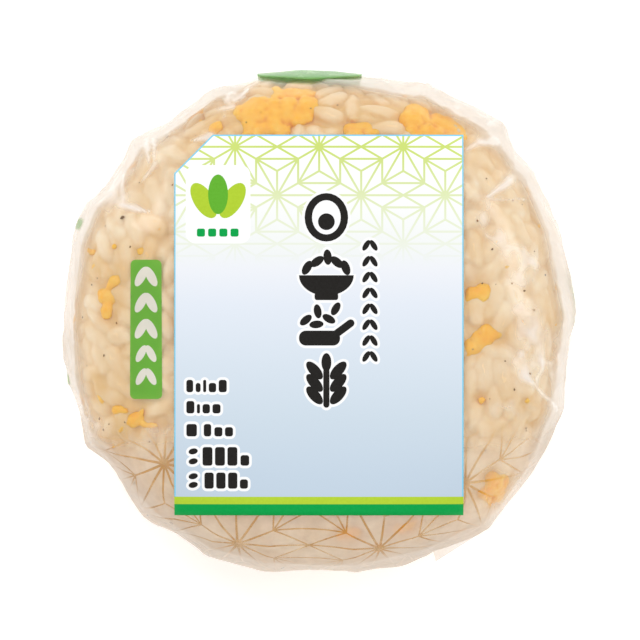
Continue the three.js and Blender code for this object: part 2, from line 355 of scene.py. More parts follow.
def many(faces, points, count):
    """The triangles of count copies of a thing with so many points."""
    return (faces[None] + (np.arange(count) * points)[:, None, None]).reshape(-1, 3)


def strips(a, b, c, d):
    """Two triangles for each four corners, a beside b and over c."""
    return np.concatenate([np.stack([a, c, b], -1).reshape(-1, 3), np.stack([b, c, d], -1).reshape(-1, 3)])


def sheet_faces(rows, columns):
    """The triangles of a sheet of rows and columns of points."""
    a = (np.arange(rows - 1)[:, None] * columns + np.arange(columns - 1)[None]).ravel()
    return strips(a, a + 1, a + columns, a + columns + 1)


def closed(grid):
    """A grid of points round the pack as a closed surface, with one more point at each end."""
    rows, columns = grid.shape[:2]
    j = np.arange(columns)
    k = (j + 1) % columns
    i = np.arange(rows - 1)[:, None] * columns
    first, base = rows * columns, (rows - 1) * columns
    caps = [np.stack([j * 0 + first, j, k], -1), np.stack([j * 0 + first + 1, base + k, base + j], -1)]
    points = np.concatenate([grid.reshape(-1, 3), grid[0].mean(0)[None], grid[-1].mean(0)[None]])
    return points, np.concatenate([strips(i + j, i + k, i + columns + j, i + columns + k), *caps])


def solid_sheet(points, faces, normals, thick):
    """A sheet made solid: the same sheet again below it, and walls round its rim."""
    edges = np.concatenate([faces[:, [0, 1]], faces[:, [1, 2]], faces[:, [2, 0]]])
    keys = {tuple(e) for e in edges.tolist()}
    a, b = np.array([e for e in keys if (e[1], e[0]) not in keys]).T
    n = len(points)
    walls = [np.stack([b, a, a + n], 1), np.stack([b, a + n, b + n], 1)]
    faces = np.concatenate([faces, faces[:, ::-1] + n, *walls])
    return np.concatenate([points, points - normals * thick]), faces


# Materials


class Nodes:
    """A material's nodes, made one after another."""

    def __init__(self, name):
        self.material = bpy.data.materials.new(name)
        self.material.use_nodes = True
        self.tree = self.material.node_tree
        self.tree.nodes.clear()
        self.output = self.tree.nodes.new("ShaderNodeOutputMaterial")

    def add(self, kind, inputs=None, **settings):
        """A node, with a value or another node's socket for each of its inputs."""
        node = self.tree.nodes.new("ShaderNode" + kind)
        for key, value in settings.items():
            setattr(node, key, value)
        for key, value in (inputs or {}).items():
            if isinstance(value, bpy.types.NodeSocket):
                self.tree.links.new(value, node.inputs[key])
            else:
                node.inputs[key].default_value = value
        return node

    def field(self, name):
        """A value that the mesh has at each point."""
        return self.add("Attribute", attribute_name=name).outputs["Fac"]

    def place(self):
        return self.add("TexCoord").outputs["Object"]

    def noise(self, scale, detail=2.0, rough=0.5):
        """Noise with scale in lumps for each mm."""
        inputs = {"Vector": self.place(), "Scale": scale / MM, "Detail": detail, "Roughness": rough}
        return self.add("TexNoise", inputs).outputs["Fac"]

    def ramp(self, value, stops):
        node = self.add("ValToRGB", {"Fac": value})
        elements = node.color_ramp.elements
        while len(elements) < len(stops):
            elements.new(0.5)
        for element, (at, color) in zip(elements, stops):
            element.position = at
            element.color = (*color, 1)
        return node.outputs["Color"]

    def mix(self, factor, *colors):
        a, b = (c if isinstance(c, bpy.types.NodeSocket) else (*c, 1) for c in colors)
        return self.add("Mix", {0: factor, 6: a, 7: b}, data_type="RGBA").outputs[2]

    def math(self, operation, *values):
        return self.add("Math", dict(enumerate(values)), operation=operation).outputs[0]

    def span(self, value, low, high, to_low=0.0, to_high=1.0):
        inputs = {"Value": value, "From Min": low, "From Max": high, "To Min": to_low, "To Max": to_high}
        return self.add("MapRange", inputs, clamp=True).outputs[0]

    def vary(self, noise, low=0.0, high=1.0):
        """Noise spread out between two values."""
        return self.span(noise, 0.3, 0.7, low, high)

    def bump(self, height, distance, strength):
        inputs = {"Height": height, "Distance": distance * MM, "Strength": strength}
        return self.add("Bump", inputs).outputs[0]

    def principled(self, **inputs):
        return self.add("BsdfPrincipled", {key.replace("_", " "): value for key, value in inputs.items()})

    def both(self, share, a, b):
        """Two shaders in one, with the share that the second one has."""
        return self.add("MixShader", {0: share, 1: a.outputs[0], 2: b.outputs[0]})

    def ink(self, color, cover, glow, rough, shine):
        """Ink that covers so much of what lies below it, and lets a part of the light through."""
        front = self.principled(Base_Color=color, Roughness=rough, Specular_IOR_Level=shine)
        through = self.add("BsdfTranslucent", {"Color": color})
        return self.finish(self.both(cover, self.add("BsdfTransparent"), self.both(glow, front, through)))

    def finish(self, shader):
        self.tree.links.new(shader.outputs[0], self.output.inputs["Surface"])
        return self.material


def lighter(color, times, more=0.0):
    return tuple(min(1, c * times + more) for c in color)


def rice_material():
    n = Nodes("cooked_rice")
    pale = n.mix(n.vary(n.noise(0.55, 3.0)), srgb(248, 231, 203), srgb(242, 220, 186))
    fine = n.noise(2.6)
    shader = n.principled(
        # The tint field turns the rice tan: its own tone, and painted shade in seams, gaps, at the lower
        # left and along the top.
        Base_Color=n.mix(n.field("tint"), pale, srgb(230, 192, 132)),
        Roughness=n.vary(fine, 0.42, 0.6),
        Specular_IOR_Level=0.35,
        Normal=n.bump(fine, 0.05, 0.5),
        Subsurface_Weight=0.6,
        Subsurface_Radius=(1.0, 0.92, 0.75),
        Subsurface_Scale=0.0009,
    )
    return n.finish(shader)


def egg_material():
    n = Nodes("cooked_egg")
    stops = [(0.3, srgb(248, 174, 32)), (0.48, srgb(252, 187, 46)), (0.7, srgb(253, 200, 80))]
    pores = n.noise(1.7, 3.0, 0.6)
    shader = n.principled(
        # Painted shade: the egg turns deep orange in its hollows and creases.
        Base_Color=n.mix(n.field("pit"), n.ramp(n.noise(0.45, 4.0, 0.6), stops), srgb(228, 140, 24)),
        Roughness=n.vary(pores, 0.34, 0.55),
        Normal=n.bump(pores, 0.12, 0.6),
        Subsurface_Weight=0.45,
        Subsurface_Radius=(1.0, 0.75, 0.35),
        Subsurface_Scale=0.001,
    )
    return n.finish(shader)


def pepper_material():
    n = Nodes("pepper")
    dark = n.mix(n.field("tint"), srgb(74, 60, 44), srgb(168, 118, 62))
    color = n.mix(n.vary(n.noise(4.0)), dark, srgb(120, 92, 60))
    return n.finish(n.principled(Base_Color=color, Roughness=0.6))


def film_material():
    """Clear film: see-through, milky where its haze says so, glossy at a slant, and near white where
    highlights are painted.
    """
    n = Nodes("clear_film")
    # Painted highlights: the milky colour turns near white under the painted streaks and patches of light.
    color = n.mix(n.field("sheen"), (0.78, 0.73, 0.66), (1.0, 0.985, 0.95))
    cloud = n.both(0.28, n.add("BsdfDiffuse", {"Color": color}), n.add("BsdfTranslucent", {"Color": color}))
    body = n.both(n.field("haze"), n.add("BsdfTransparent"), cloud)
    ripple = n.bump(n.noise(0.25), 0.12, 0.5)
    gloss = n.add("BsdfGlossy", {"Color": (1, 1, 1, 1), "Roughness": 0.17, "Normal": ripple})
    slant = n.add("LayerWeight", {"Blend": 0.5, "Normal": ripple}).outputs["Facing"]
    return n.finish(n.both(n.math("MULTIPLY_ADD", n.math("POWER", slant, 4.0), 0.55, 0.035), body, gloss))


def print_material(name, color, low, high, glow):
    """Milky or coloured ink on the film, a little see-through."""
    n = Nodes(name)
    cloud = n.noise(0.2, 4.0)
    tone = n.mix(n.span(cloud, 0.35, 0.65), color, lighter(color, 1.05))
    return n.ink(tone, n.math("MULTIPLY", n.field("cover"), n.vary(cloud, low, high)), glow, 0.3, 0.2)


MILKY = srgb(243, 234, 222)


def veil_line_material():
    """The star pattern's lines, tan where rice lies behind them and milky round the rim."""
    n = Nodes("veil_lines")
    rim = n.field("rim")
    uneven = n.span(n.noise(0.22), 0.32, 0.68, 0.2, 0.62)
    full = n.math("MULTIPLY_ADD", rim, n.math("SUBTRACT", 0.63, uneven), uneven)
    tone = n.mix(rim, srgb(206, 162, 100), MILKY)
    return n.ink(tone, n.math("MULTIPLY", n.field("cover"), full), 0.35, 0.4, 0.1)


# The label's ground from its foot to its top: share of the height, colour
GROUND = [
    (0.00, (196, 213, 229)), (0.10, (199, 215, 230)), (0.25, (207, 221, 233)), (0.40, (217, 228, 239)),
    (0.55, (228, 235, 245)), (0.64, (238, 241, 247)), (0.70, (242, 245, 244)), (0.82, (250, 251, 250)),
    (1.00, (254, 254, 254)),
]


def paper_gradient(n):
    """The label's ground: white above, pale blue below."""
    y = n.add("SeparateXYZ", {"Vector": n.place()}).outputs["Y"]
    share = n.span(y, LABEL["bottom"] * MM, LABEL["top"] * MM)
    return n.ramp(share, [(at, srgb(*color)) for at, color in GROUND]), y


def satin(n, color):
    """A satin print."""
    grain = n.noise(1.5, 3.0)
    rough, normal = n.vary(grain, 0.42, 0.5), n.bump(grain, 0.01, 0.4)
    return n.finish(n.principled(Base_Color=color, Roughness=rough, Normal=normal, Specular_IOR_Level=0.08))


def paper_material():
    n = Nodes("label_paper")
    return satin(n, paper_gradient(n)[0])


def line_material():
    n = Nodes("label_star_lines")
    ground, y = paper_gradient(n)
    return satin(n, n.mix(n.span(y, 9.0 * MM, 27.0 * MM), ground, srgb(206, 224, 122)))


def ink_material(name, color):
    n = Nodes(name)
    return satin(n, n.mix(n.vary(n.noise(3.0)), color, lighter(color, 1.06, 0.004)))


def tape_material():
    """Pale green tape, a little see-through, and darker along its front edge, painted shade where that edge
    bends down.
    """
    n = Nodes("seal_tape")
    cloud = n.vary(n.noise(0.3, 3.0))
    y = n.add("SeparateXYZ", {"Vector": n.place()}).outputs["Y"]
    # Painted shade: darker green along the front edge.
    lit_past_edge = n.span(y, TAPE_LINE * MM, (TAPE_LINE + 0.7) * MM)
    color = n.mix(lit_past_edge, srgb(142, 200, 116), n.mix(cloud, srgb(152, 204, 140), srgb(190, 226, 172)))
    ripple = n.bump(n.noise(0.35), 0.15, 0.5)
    rough = n.span(cloud, 0.0, 1.0, 0.2, 0.3)
    shader = n.principled(Base_Color=color, Roughness=rough, Normal=ripple, Coat_Weight=0.4)
    solid = n.both(0.2, shader, n.add("BsdfTranslucent", {"Color": color}))
    return n.finish(n.both(0.3, solid, n.add("BsdfTransparent", {"Color": (0.72, 0.9, 0.68, 1)})))


def floor_material():
    n = Nodes("pale_floor")
    shader = n.principled(
        Base_Color=n.mix(n.noise(0.002), (0.93, 0.93, 0.93), (0.96, 0.96, 0.96)),
        Roughness=0.8,
        Specular_IOR_Level=0.1,
        Emission_Color=(1, 1, 1, 1),
        Emission_Strength=0.32,
    )
    return n.finish(shader)


# Contents

# Egg that shows at the front: place, half length, half width in mm, and turn in degrees
CURDS = [
    (-10.8, 34.0, 4.1, 2.6, 85), (-12.9, 34.5, 1.9, 1.4, 60), (-4.4, 37.7, 4.2, 2.3, 3),
    (-5.2, 34.3, 4.0, 3.0, -12), (-1.9, 35.2, 2.4, 1.6, 80), (-7.0, 31.6, 2.6, 1.7, -60),
    (-10.2, 30.9, 2.6, 1.3, 8), (6.7, 30.8, 3.1, 1.8, 3), (15.9, 33.5, 2.6, 2.5, 40),
    (20.0, 32.2, 3.9, 2.9, -12), (16.8, 30.6, 3.4, 1.7, 0), (23.1, 30.3, 1.5, 1.5, 90),
    (-38.5, 11.2, 1.2, 0.8, 10), (-37.9, 11.3, 1.3, 0.5, 80), (-36.7, 8.8, 1.1, 0.95, 20),
    (-33.3, 12.1, 0.4, 0.3, 0), (-31.9, 8.0, 1.1, 0.8, 60), (-33.6, 6.3, 1.5, 0.8, 42),
    (-34.6, 4.0, 2.1, 1.2, -8), (-34.7, 1.9, 1.7, 0.95, 78), (-28.6, 11.2, 1.3, 0.6, -20),
    (-25.9, 14.8, 0.6, 0.45, 60), (25.7, 4.3, 2.8, 1.5, 20), (25.7, -3.3, 3.9, 1.95, 35),
    (30.4, 8.7, 0.95, 0.22, 8), (38.5, -0.6, 1.5, 0.5, 85), (39.0, -5.4, 0.7, 0.25, 85),
    (26.0, -12.7, 0.5, 0.4, 0), (33.6, -13.0, 0.45, 0.25, 20), (36.4, -15.7, 0.8, 0.4, 25),
    (-35.8, -12.0, 2.5, 0.85, 106), (-32.7, -14.5, 1.5, 0.75, 0), (-30.1, -16.2, 1.8, 1.15, 25),
    (-29.0, -14.9, 0.9, 0.35, 50), (-27.6, -16.9, 1.3, 0.45, -5), (-31.8, -17.4, 1.0, 0.5, 20),
    (-33.6, -20.3, 1.0, 0.5, 110), (28.9, -27.6, 4.2, 3.6, 40), (4.5, -34.6, 2.2, 1.2, 10),
    (13.5, -33.5, 2.4, 1.0, 30), (-19.9, 32.8, 0.5, 0.4, 20), (-17.2, 31.4, 1.7, 1.0, 75),
    (30.4, 26.6, 0.8, 0.28, -55), (36.7, 16.2, 0.7, 0.3, -60),
]

# Pepper that shows at the front: place and size in mm, and how brown
FLECKS = [
    (-31.9, 16.8, 0.75, 0.2), (-30.6, 12.0, 0.35, 0.6), (-37.2, 5.9, 0.4, 0.4),
    (-39.0, 0.7, 0.35, 0.6), (-34.9, -5.5, 0.4, 0.5), (-11.9, 32.1, 0.28, 0.0),
    (27.7, 11.6, 0.4, 0.3), (34.8, 11.3, 0.35, 0.5), (26.1, 6.1, 0.35, 0.4),
    (30.9, 6.1, 0.3, 0.6), (32.9, 4.9, 0.4, 0.3), (34.5, 1.8, 0.3, 0.5), (31.3, -11.0, 0.4, 0.3),
    (-36.0, -15.8, 0.5, 0.9), (-35.3, -17.6, 0.45, 0.8), (-34.2, -16.6, 0.35, 1.0),
    (26.8, 23.0, 0.3, 0.4), (31.2, 19.5, 0.28, 0.6), (2.8, 35.0, 0.3, 0.5),
    (20.5, 30.0, 0.28, 0.3), (-29.4, 22.5, 0.3, 0.5), (-35.0, 15.5, 0.28, 0.6),
    (29.8, -6.4, 0.3, 0.5), (33.5, -17.8, 0.35, 0.6), (-27.5, -19.4, 0.3, 0.7),
]


def spread(spacing, tries, rng, keep=lambda place: True):
    """Places all over the pack, no two nearer to each other than the spacing."""
    step = np.linspace(0.001, 0.999, 600)
    ring = pack_point(np.zeros(600), step)
    total = np.cumsum(np.linalg.norm(np.gradient(ring, axis=0), axis=1) * np.abs(ring[:, 0]))
    along = np.interp(rng.random(tries) * total[-1], total, step)
    angle = rng.random(tries) * 2 * np.pi
    points = pack_point(angle, along)
    chosen, cells = [], {}
    cell = np.floor(points / spacing).astype(int)
    for i in range(tries):
        if not keep(points[i]):
            continue
        cx, cy, cz = cell[i].tolist()
        around = product((cx - 1, cx, cx + 1), (cy - 1, cy, cy + 1), (cz - 1, cz, cz + 1))
        near = [j for key in around for j in cells.get(key, ())]
        if near and np.min(np.sum((points[near] - points[i]) ** 2, 1)) < spacing**2:
            continue
        cells.setdefault((cx, cy, cz), []).append(i)
        chosen.append(i)
    return angle[chosen], along[chosen]


def turned(a, b, by):
    """Each axis a, turned towards b."""
    by = np.atleast_1d(by)
    return a * np.cos(by)[:, None] + b * np.sin(by)[:, None]


def axes_at(angle, along, turn=0.0, tilt=0.0, lean=0.0):
    """Long, wide and outward axes of things that lie on the surface, turned and tipped."""
    normal = pack_normal(angle, along)
    side = np.where(np.abs(normal[:, 2:3]) > 0.6, [[0.0, 1.0, 0.0]], [[0.0, 0.0, 1.0]])
    across = np.cross(side, normal)
    across /= np.linalg.norm(across, axis=1, keepdims=True)
    long = turned(across, np.cross(normal, across), turn)
    wide = np.cross(normal, long)
    tipped = turned(long, normal, tilt)
    rolled = turned(wide, np.cross(tipped, wide), lean)
    return tipped, rolled, np.cross(tipped, rolled)


def placed(middle, axes, local):
    """The points of things, from their places along each thing's own axes."""
    return middle[:, None] + sum(local[..., k : k + 1] * axes[k][:, None] for k in range(3))


def arrange(angle, along, rng):
    """Turns for grains, so that each lies beside its neighbours rather than across them."""
    across, up, _ = axes_at(angle, along)
    middle = pack_point(angle, along)
    turn = rng.random(len(angle)) * np.pi
    tree = tree_of(middle)
    near = [[j for _, j, _ in tree.find_range(p, 7.5) if j != i] for i, p in enumerate(middle.tolist())]
    steps = np.array([-2.4, -1.2, 0.0, 1.2, 2.4])[:, None]
    for _ in range(3):
        for i, others in enumerate(near):
            tries = turn[i] + np.linspace(0, np.pi, 9, endpoint=False) + 0.2 * rng.random()
            theirs = turned(across[others], up[others], turn[others])
            theirs = (middle[others][:, None] + theirs[:, None] * steps).reshape(-1, 3)
            own = middle[i] + turned(across[i], up[i], tries)[:, None] * steps
            away = ((own[:, :, None] - theirs) ** 2).sum(-1)
            turn[i] = tries[np.argmin((1 / (away + 0.4) ** 2).sum((1, 2)))]
    return turn


def clear_of(angle, along, places, margin):
    """Which places lie clear of the larger lumps of egg."""
    place = pack_point(angle, along)
    clear = np.ones(len(place), bool)
    for (at, down), a, b, turn in places:
        if math.sqrt(a * b) < 1.25:
            continue
        one = np.array([at]), np.array([down])
        long, wide, _ = axes_at(*one, turn)
        away = place - pack_point(*one)
        across = (away @ long[0] / (a + margin)) ** 2 + (away @ wide[0] / (b + margin)) ** 2
        clear &= (across > 1) | (np.linalg.norm(away, axis=1) > 8)
    return clear


# Layers of grains: spacing in mm, places tried, depth in thicknesses, unevenness in mm, room by egg in mm
LAYERS = ((3.2, 21000, 0.6, 0.3, 0.5), (3.8, 8500, 1.1, 0.4, -0.4))
GRAIN_HALF, GRAIN_THICK = 3.35, 1.62


def build_grains(rng, curds):
    """Grains of rice, in a full outer layer and a looser one below it."""
    unit, faces = ball(7, 9)
    u, v, w = unit.T[:, None]
    body = np.sign(u) * np.abs(u) ** 0.82
    points, tints, lines = [], [], []
    for spacing, tries, sunk, jitter, margin in LAYERS:
        angle, along = spread(spacing, tries, rng)
        clear = clear_of(angle, along, curds, margin)
        angle, along = angle[clear], along[clear]
        count = len(angle)
        half = GRAIN_HALF * (0.82 + 0.34 * rng.random(count))
        thick = GRAIN_THICK * (0.85 + 0.28 * rng.random(count))
        flat = 0.86 + 0.12 * rng.random((count, 1))
        tilt = np.clip(rng.normal(0, 0.16, count), -0.5, 0.5)
        turn = arrange(angle, along, rng)
        axes = axes_at(angle, along, turn, tilt, rng.random(count) * 2 * np.pi)
        taper = rng.normal(0, 0.1, (count, 1))
        bend = rng.normal(0, 0.22, (count, 1))
        phase = rng.random((count, 3, 1)) * 6.3
        lump = 1 + 0.07 * np.sin(3.1 * u + phase[:, 0]) + 0.06 * np.sin(2.3 * v + 2.9 * u + phase[:, 1])
        lump = lump + 0.05 * np.sin(3.7 * w - 2.0 * u + phase[:, 2])
        girth = thick[:, None] * (1 - taper * u) * lump
        x = half[:, None] * body * (0.97 + 0.05 * np.sin(2 * w + phase[:, 1]))
        y = girth * v * (np.abs(v) + 0.35) ** 0.05
        z = girth * flat * w + bend * body**2
        depth = room_at(angle, along) + thick * sunk + jitter * (rng.random(count) - 0.35)
        middle = off_form(angle, along, -depth)
        points.append(placed(middle, axes, np.stack([x, y, z], -1)))
        lines.append(np.column_stack([middle, axes[0], half - 0.75 * thick, thick]))
        # Painted shade: grains at the lower left of the front and along the top are tinted darker, on top of
        # a tint that differs at random.
        shaded_low_left = smooth(8, -32, middle[:, 0]) * smooth(10, -18, middle[:, 1])
        top = smooth(27, 35, middle[:, 1]) * (1 - smooth(-8, 16, np.abs(middle[:, 0])) * 0.6)
        tints.append(0.06 + 0.5 * shaded_low_left + 0.3 * top + 0.42 * rng.random(count) ** 2)
    points = press(np.concatenate(points).reshape(-1, 3))
    faces = many(faces, len(unit), len(points) // len(unit))
    return (points, faces), np.concatenate(lines), np.concatenate(tints)


def tree_of(points):
    tree = KDTree(len(points))
    for i, point in enumerate(points.tolist()):
        tree.insert(point, i)
    tree.balance()
    return tree


def nearest_grains(points, lines):
    """The grain that each point belongs to, and how far it is from the seam with the next, in mm."""
    middle, long, reach, thick = lines[:, :3], lines[:, 3:6], lines[:, 6], lines[:, 7]
    tree = tree_of(middle)
    near = np.array([[j for _, j, _ in tree.find_n(p, 10)] for p in points.tolist()])
    away = points[:, None] - middle[near]
    t = np.clip((away * long[near]).sum(-1), -reach[near], reach[near])
    gap = np.linalg.norm(away - t[..., None] * long[near], axis=-1) / thick[near]
    order = np.argsort(gap, 1)[:, :2]
    first, second = np.take_along_axis(gap, order, 1).T
    return np.take_along_axis(near, order[:, :1], 1)[:, 0], 0.75 * (second - first)


def curd_list(rng):
    """Egg at the front's places, and more round the side and the back, where none is seen."""
    places = []
    for x, y, a, b, turn in CURDS:
        angle, along = on_front(np.array([x]), np.array([y]))
        places.append(((angle[0], along[0]), a, b, math.radians(turn)))
    unseen = lambda p: p[2] < 21 and not (p[2] < 0.5 and math.hypot(p[0], p[1]) < 6)
    for place in zip(*spread(12.5, 1500, rng, unseen)):
        a = 1.4 + 2.6 * rng.random() ** 1.5
        places.append((place, a, a * (0.45 + 0.4 * rng.random()), rng.random() * 3))
    return places


def build_curds(places):
    """Lumps of set egg, each of soft lobes grown together, pressed flat by the film, and how hollow each
    point is, for painted shade in the creases.
    """
    rng = np.random.default_rng(31)
    unit, unit_faces = ball(9, 12)
    lobe = np.array([1.15, 1.05, 0.9])
    parts = []
    for (angle, along), a, b, turn in places:
        one = np.array([angle]), np.array([along])
        axes = axes_at(*one, turn)
        a, b = 1.04 * a + 0.22, 1.04 * b + 0.24
        count = int(np.clip(2 + 1.1 * a * b + 1.5 * (a / b - 1), 3, 17))
        radius = np.minimum(b * (0.5 + 0.28 * rng.random(count)), 1.0 + 0.8 * rng.random(count))
        way = 2.4 * np.arange(count) + 6.3 * rng.random() + 0.5 * rng.random(count)
        far = ((np.arange(count) + 0.3 + 0.5 * rng.random(count)) / count) ** 0.5
        u, v = (a - radius) * far * np.cos(way), (b - radius) * far * np.sin(way)
        w = -radius * 0.82 - 0.4 * np.minimum(1, b / 2) * rng.random(count)
        lumps = [unit * (radius[k] * lobe) + (u[k], v[k], w[k]) for k in range(count)]
        lumps.append(unit * (0.86 * a, 0.83 * b, 0.5 * b) - (0, 0, 0.5 * b + 0.4 * smooth(1.2, 2.6, b)))
        middle = off_form(*one, -room_at(*one))
        parts += [(placed(middle, axes, lump)[0], unit_faces) for lump in lumps]
    points, faces = fuse(parts, 0.27, 0.6)
    out = normals_of(points, faces)
    points = press(points + out * (0.16 * noise_grid(points, 0.75, 4))[:, None], -0.05)
    dents = 0.14 * np.maximum(0, noise_grid(points, 0.7, 5))
    dents = dents + 0.08 * np.maximum(0, noise_grid(points, 2.4, 6))
    points = points - out * dents[:, None]
    pits = ((relax(points, faces, 6) - points) * normals_of(points, faces)).sum(1)
    return points, faces, smooth(0.01, 0.14, pits)


def build_flecks(rng):
    """Crumbs of pepper on the grains, some of them browned bits."""
    unit, faces = ball(5, 6)
    x, y, size, brown = np.array(FLECKS).T
    rows = list(zip(*on_front(x, y), 0.52 * size, brown))
    for place in zip(*spread(8.0, 1500, rng, lambda p: p[2] <= MIDDLE or not in_label(p[0], p[1], 0))):
        rows.append((*place, 0.1 + 0.14 * rng.random() ** 2, rng.random()))
    angle, along, size, brown = np.array(rows).T
    count = len(rows)
    axes = axes_at(angle, along, rng.random(count) * np.pi)
    local = unit * (1 + 0.35 * (rng.random((count, len(unit), 1)) - 0.5))
    local = local * size[:, None, None] * np.array([1.0, 0.7, 0.35])
    middle = off_form(angle, along, -room_at(angle, along) - 0.02)
    points = press(placed(middle, axes, local).reshape(-1, 3), -0.05)
    return points, many(faces, len(unit), count), np.repeat(brown, len(unit))


def rice_core():
    """The closed body below the grains."""
    angle, along = np.meshgrid(np.linspace(0, 2 * np.pi, 160, endpoint=False), np.linspace(0.015, 0.985, 90))
    form = pack_point(angle, along)
    depth = room_at(angle, along) + 0.95 + 0.45 * clear_top(form)
    depth = depth + 0.22 * np.sin(1.9 * form[..., 0]) * np.sin(1.7 * form[..., 1])
    core = off_form(angle, along, -depth)
    core[..., 2] = np.maximum(core[..., 2], 0.9)
    return closed(core)


def build_rice(grains, lines, tints, curds):
    """Grains fused on their core, with a seam round each, and how tan the rice is at each point, painted
    shade in its seams and gaps included.
    """
    points, faces = fuse([grains, rice_core()], 0.44, 0.72)
    crisp = clear_top(points)
    soft = relax(points, faces, 2, 0.45)
    points = soft + (relax(points, faces, 1, 0.2) - soft) * crisp[:, None]
    grain, seam_away = nearest_grains(points, lines)
    depth, out = depth_of(points)
    gap = smooth(0.3, 1.2, depth - room_at(*along_of(points)))
    seam = (1 - smooth(0.0, 0.42, seam_away)) * (1 - gap)
    points = points - out * ((0.14 + 0.2 * crisp) * seam**1.5)[:, None]
    patch = np.clip(0.5 + 1.3 * noise_grid(points, 0.17, 3), 0, 1)
    # The tint: each grain's own, then painted shade in the seams between grains and in the gaps deep below
    # the film, stronger at the top, and patches of tone that differ at random.
    tint = 0.45 * tints[grain] + (0.22 + 0.3 * crisp) * seam + (0.38 + 0.3 * crisp) * gap
    tint = tint + 0.4 * patch * (1 - crisp) + 0.3 * crisp
    tree = tree_of(curds)
    near_egg = np.array([tree.find(p)[2] for p in points.tolist()])
    return points, faces, np.clip(tint + 0.35 * (1 - smooth(0.2, 2.2, near_egg)), 0, 1)


# Film

# The film's rows lie closer where it is slack and seen from the front
COLUMNS = 560
_spacing = np.interp(ARC_AT, [0, 0.17, 0.22, 0.56, 0.64, 1], [1.7, 1.5, 0.37, 0.37, 1.2, 1.6])
_row = np.cumsum(np.gradient(ARC) / _spacing)
ROWS = int(_row[-1])
FILM_ANGLE = np.linspace(0, 2 * np.pi, COLUMNS, endpoint=False)
FILM_ALONG = np.interp(np.linspace(_row[0] + 0.7, _row[-1] - 0.7, ROWS), _row, ARC_AT)
FILM_ARC = np.interp(FILM_ALONG, ARC_AT, ARC)
GRID_ANGLE, GRID_ALONG = np.meshgrid(FILM_ANGLE, FILM_ALONG)


def wrap(grid):
    """Pads a grid of the film by a column each side, because it closes round."""
    return np.concatenate([grid[:, -2:], grid, grid[:, :2]], 1)


def rows_beside(grid):
    return np.concatenate([grid[:1], grid[:-1]]), np.concatenate([grid[1:], grid[-1:]])


def spread_most(grid):
    """Each place takes the highest of its neighbours."""
    g = wrap(grid)
    g = np.maximum.reduce([g[:, 1:-3], g[:, 2:-2], g[:, 3:-1]])
    return np.maximum.reduce([g, *rows_beside(g)])


def blur(grid, times):
    for _ in range(times):
        g = wrap(grid)
        g = 0.25 * g[:, 1:-3] + 0.5 * g[:, 2:-2] + 0.25 * g[:, 3:-1]
        down, up = rows_beside(g)
        grid = 0.25 * down + 0.5 * g + 0.25 * up
    return grid


def resting(points):
    """How high the contents stand under each place of the film."""
    depth = depth_of(points)[0]
    near = depth < 1.3
    angle, along = along_of(points[near])
    column = np.round(np.degrees(angle) % 360 / 360 * COLUMNS).astype(int) % COLUMNS
    row = np.clip(np.round(np.interp(along, FILM_ALONG, np.arange(ROWS))), 0, ROWS - 1).astype(int)
    height = np.full((ROWS, COLUMNS), -1.3)
    np.maximum.at(height, (row, column), -depth[near])
    return height


def make_folds(rng):
    """Folds of the film: angle and along of its start and its end, height and width in mm."""
    folds = []

    def add(start, end, side, rise, width):
        folds.append((at, start, at + side, end, rise, width))

    for at in np.radians(CORNERS[:, 0]):
        for _ in range(3):
            side, end = rng.normal(0, 0.16), 0.47 - 0.2 * rng.random()
            add(0.505, end, side, 0.22 + 0.2 * rng.random(), 0.5)
        for _ in range(2):
            side = rng.normal(0, 0.14)
            add(0.49, 0.58 + 0.14 * rng.random(), side, 0.3, 0.7)
    for _ in range(70):
        at, start = rng.random() * 2 * math.pi, 0.36 + 0.12 * rng.random()
        end, side = start + 0.05 + 0.1 * rng.random(), rng.normal(0, 0.22)
        add(start, end, side, 0.1 + 0.22 * rng.random(), 0.35 + 0.3 * rng.random())
    for _ in range(60):
        at, start = rng.random() * 2 * math.pi, 0.3 + 0.1 * rng.random()
        add(start, start + 0.07, rng.normal(0, 0.1), 0.05 + 0.05 * rng.random(), 0.3)
    for _ in range(90):
        at, start = rng.random() * 2 * math.pi, 0.55 + 0.1 * rng.random()
        add(start, start + 0.1 + 0.1 * rng.random(), rng.normal(0, 0.12), 0.25 + 0.35 * rng.random(), 0.6)
    return folds


def fold_relief(folds, base):
    """How high the folds stand at each place of the film, and how near it is to a crest, up to 1."""
    height, crest = np.zeros((2, ROWS, COLUMNS))
    for a0, s0, a1, s1, rise, width in folds:
        ends = pack_point(np.array([a0, a1]), np.array([s0, s1]))
        line = ends[1] - ends[0]
        long = np.linalg.norm(line)
        rows = np.flatnonzero((FILM_ALONG > min(s0, s1) - 0.05) & (FILM_ALONG < max(s0, s1) + 0.05))
        off = (FILM_ANGLE - (a0 + a1) / 2 + np.pi) % (2 * np.pi) - np.pi
        columns = np.flatnonzero(np.abs(off) < (abs(a1 - a0) + 4 * width / 38 + 0.1) / 2)
        pick = np.ix_(rows, columns)
        away = base[pick] - ends[0]
        t = np.clip(away @ line / long**2, 0, 1)
        # A straight chord lies inside the round form: its sag doesn't count as distance
        sag = long * long * t * (1 - t) / 60
        gap = np.maximum(0, np.linalg.norm(away - t[..., None] * line, axis=-1) - sag)
        shape = np.sin(np.pi * np.clip(t * 0.96 + 0.02, 0, 1)) ** 0.6
        height[pick] = np.maximum(height[pick], rise * np.exp(-gap / width) * shape)
        crest[pick] = np.maximum(crest[pick], np.exp(-gap / (0.35 * width)) * shape * min(1, rise / 0.3))
    return height, crest


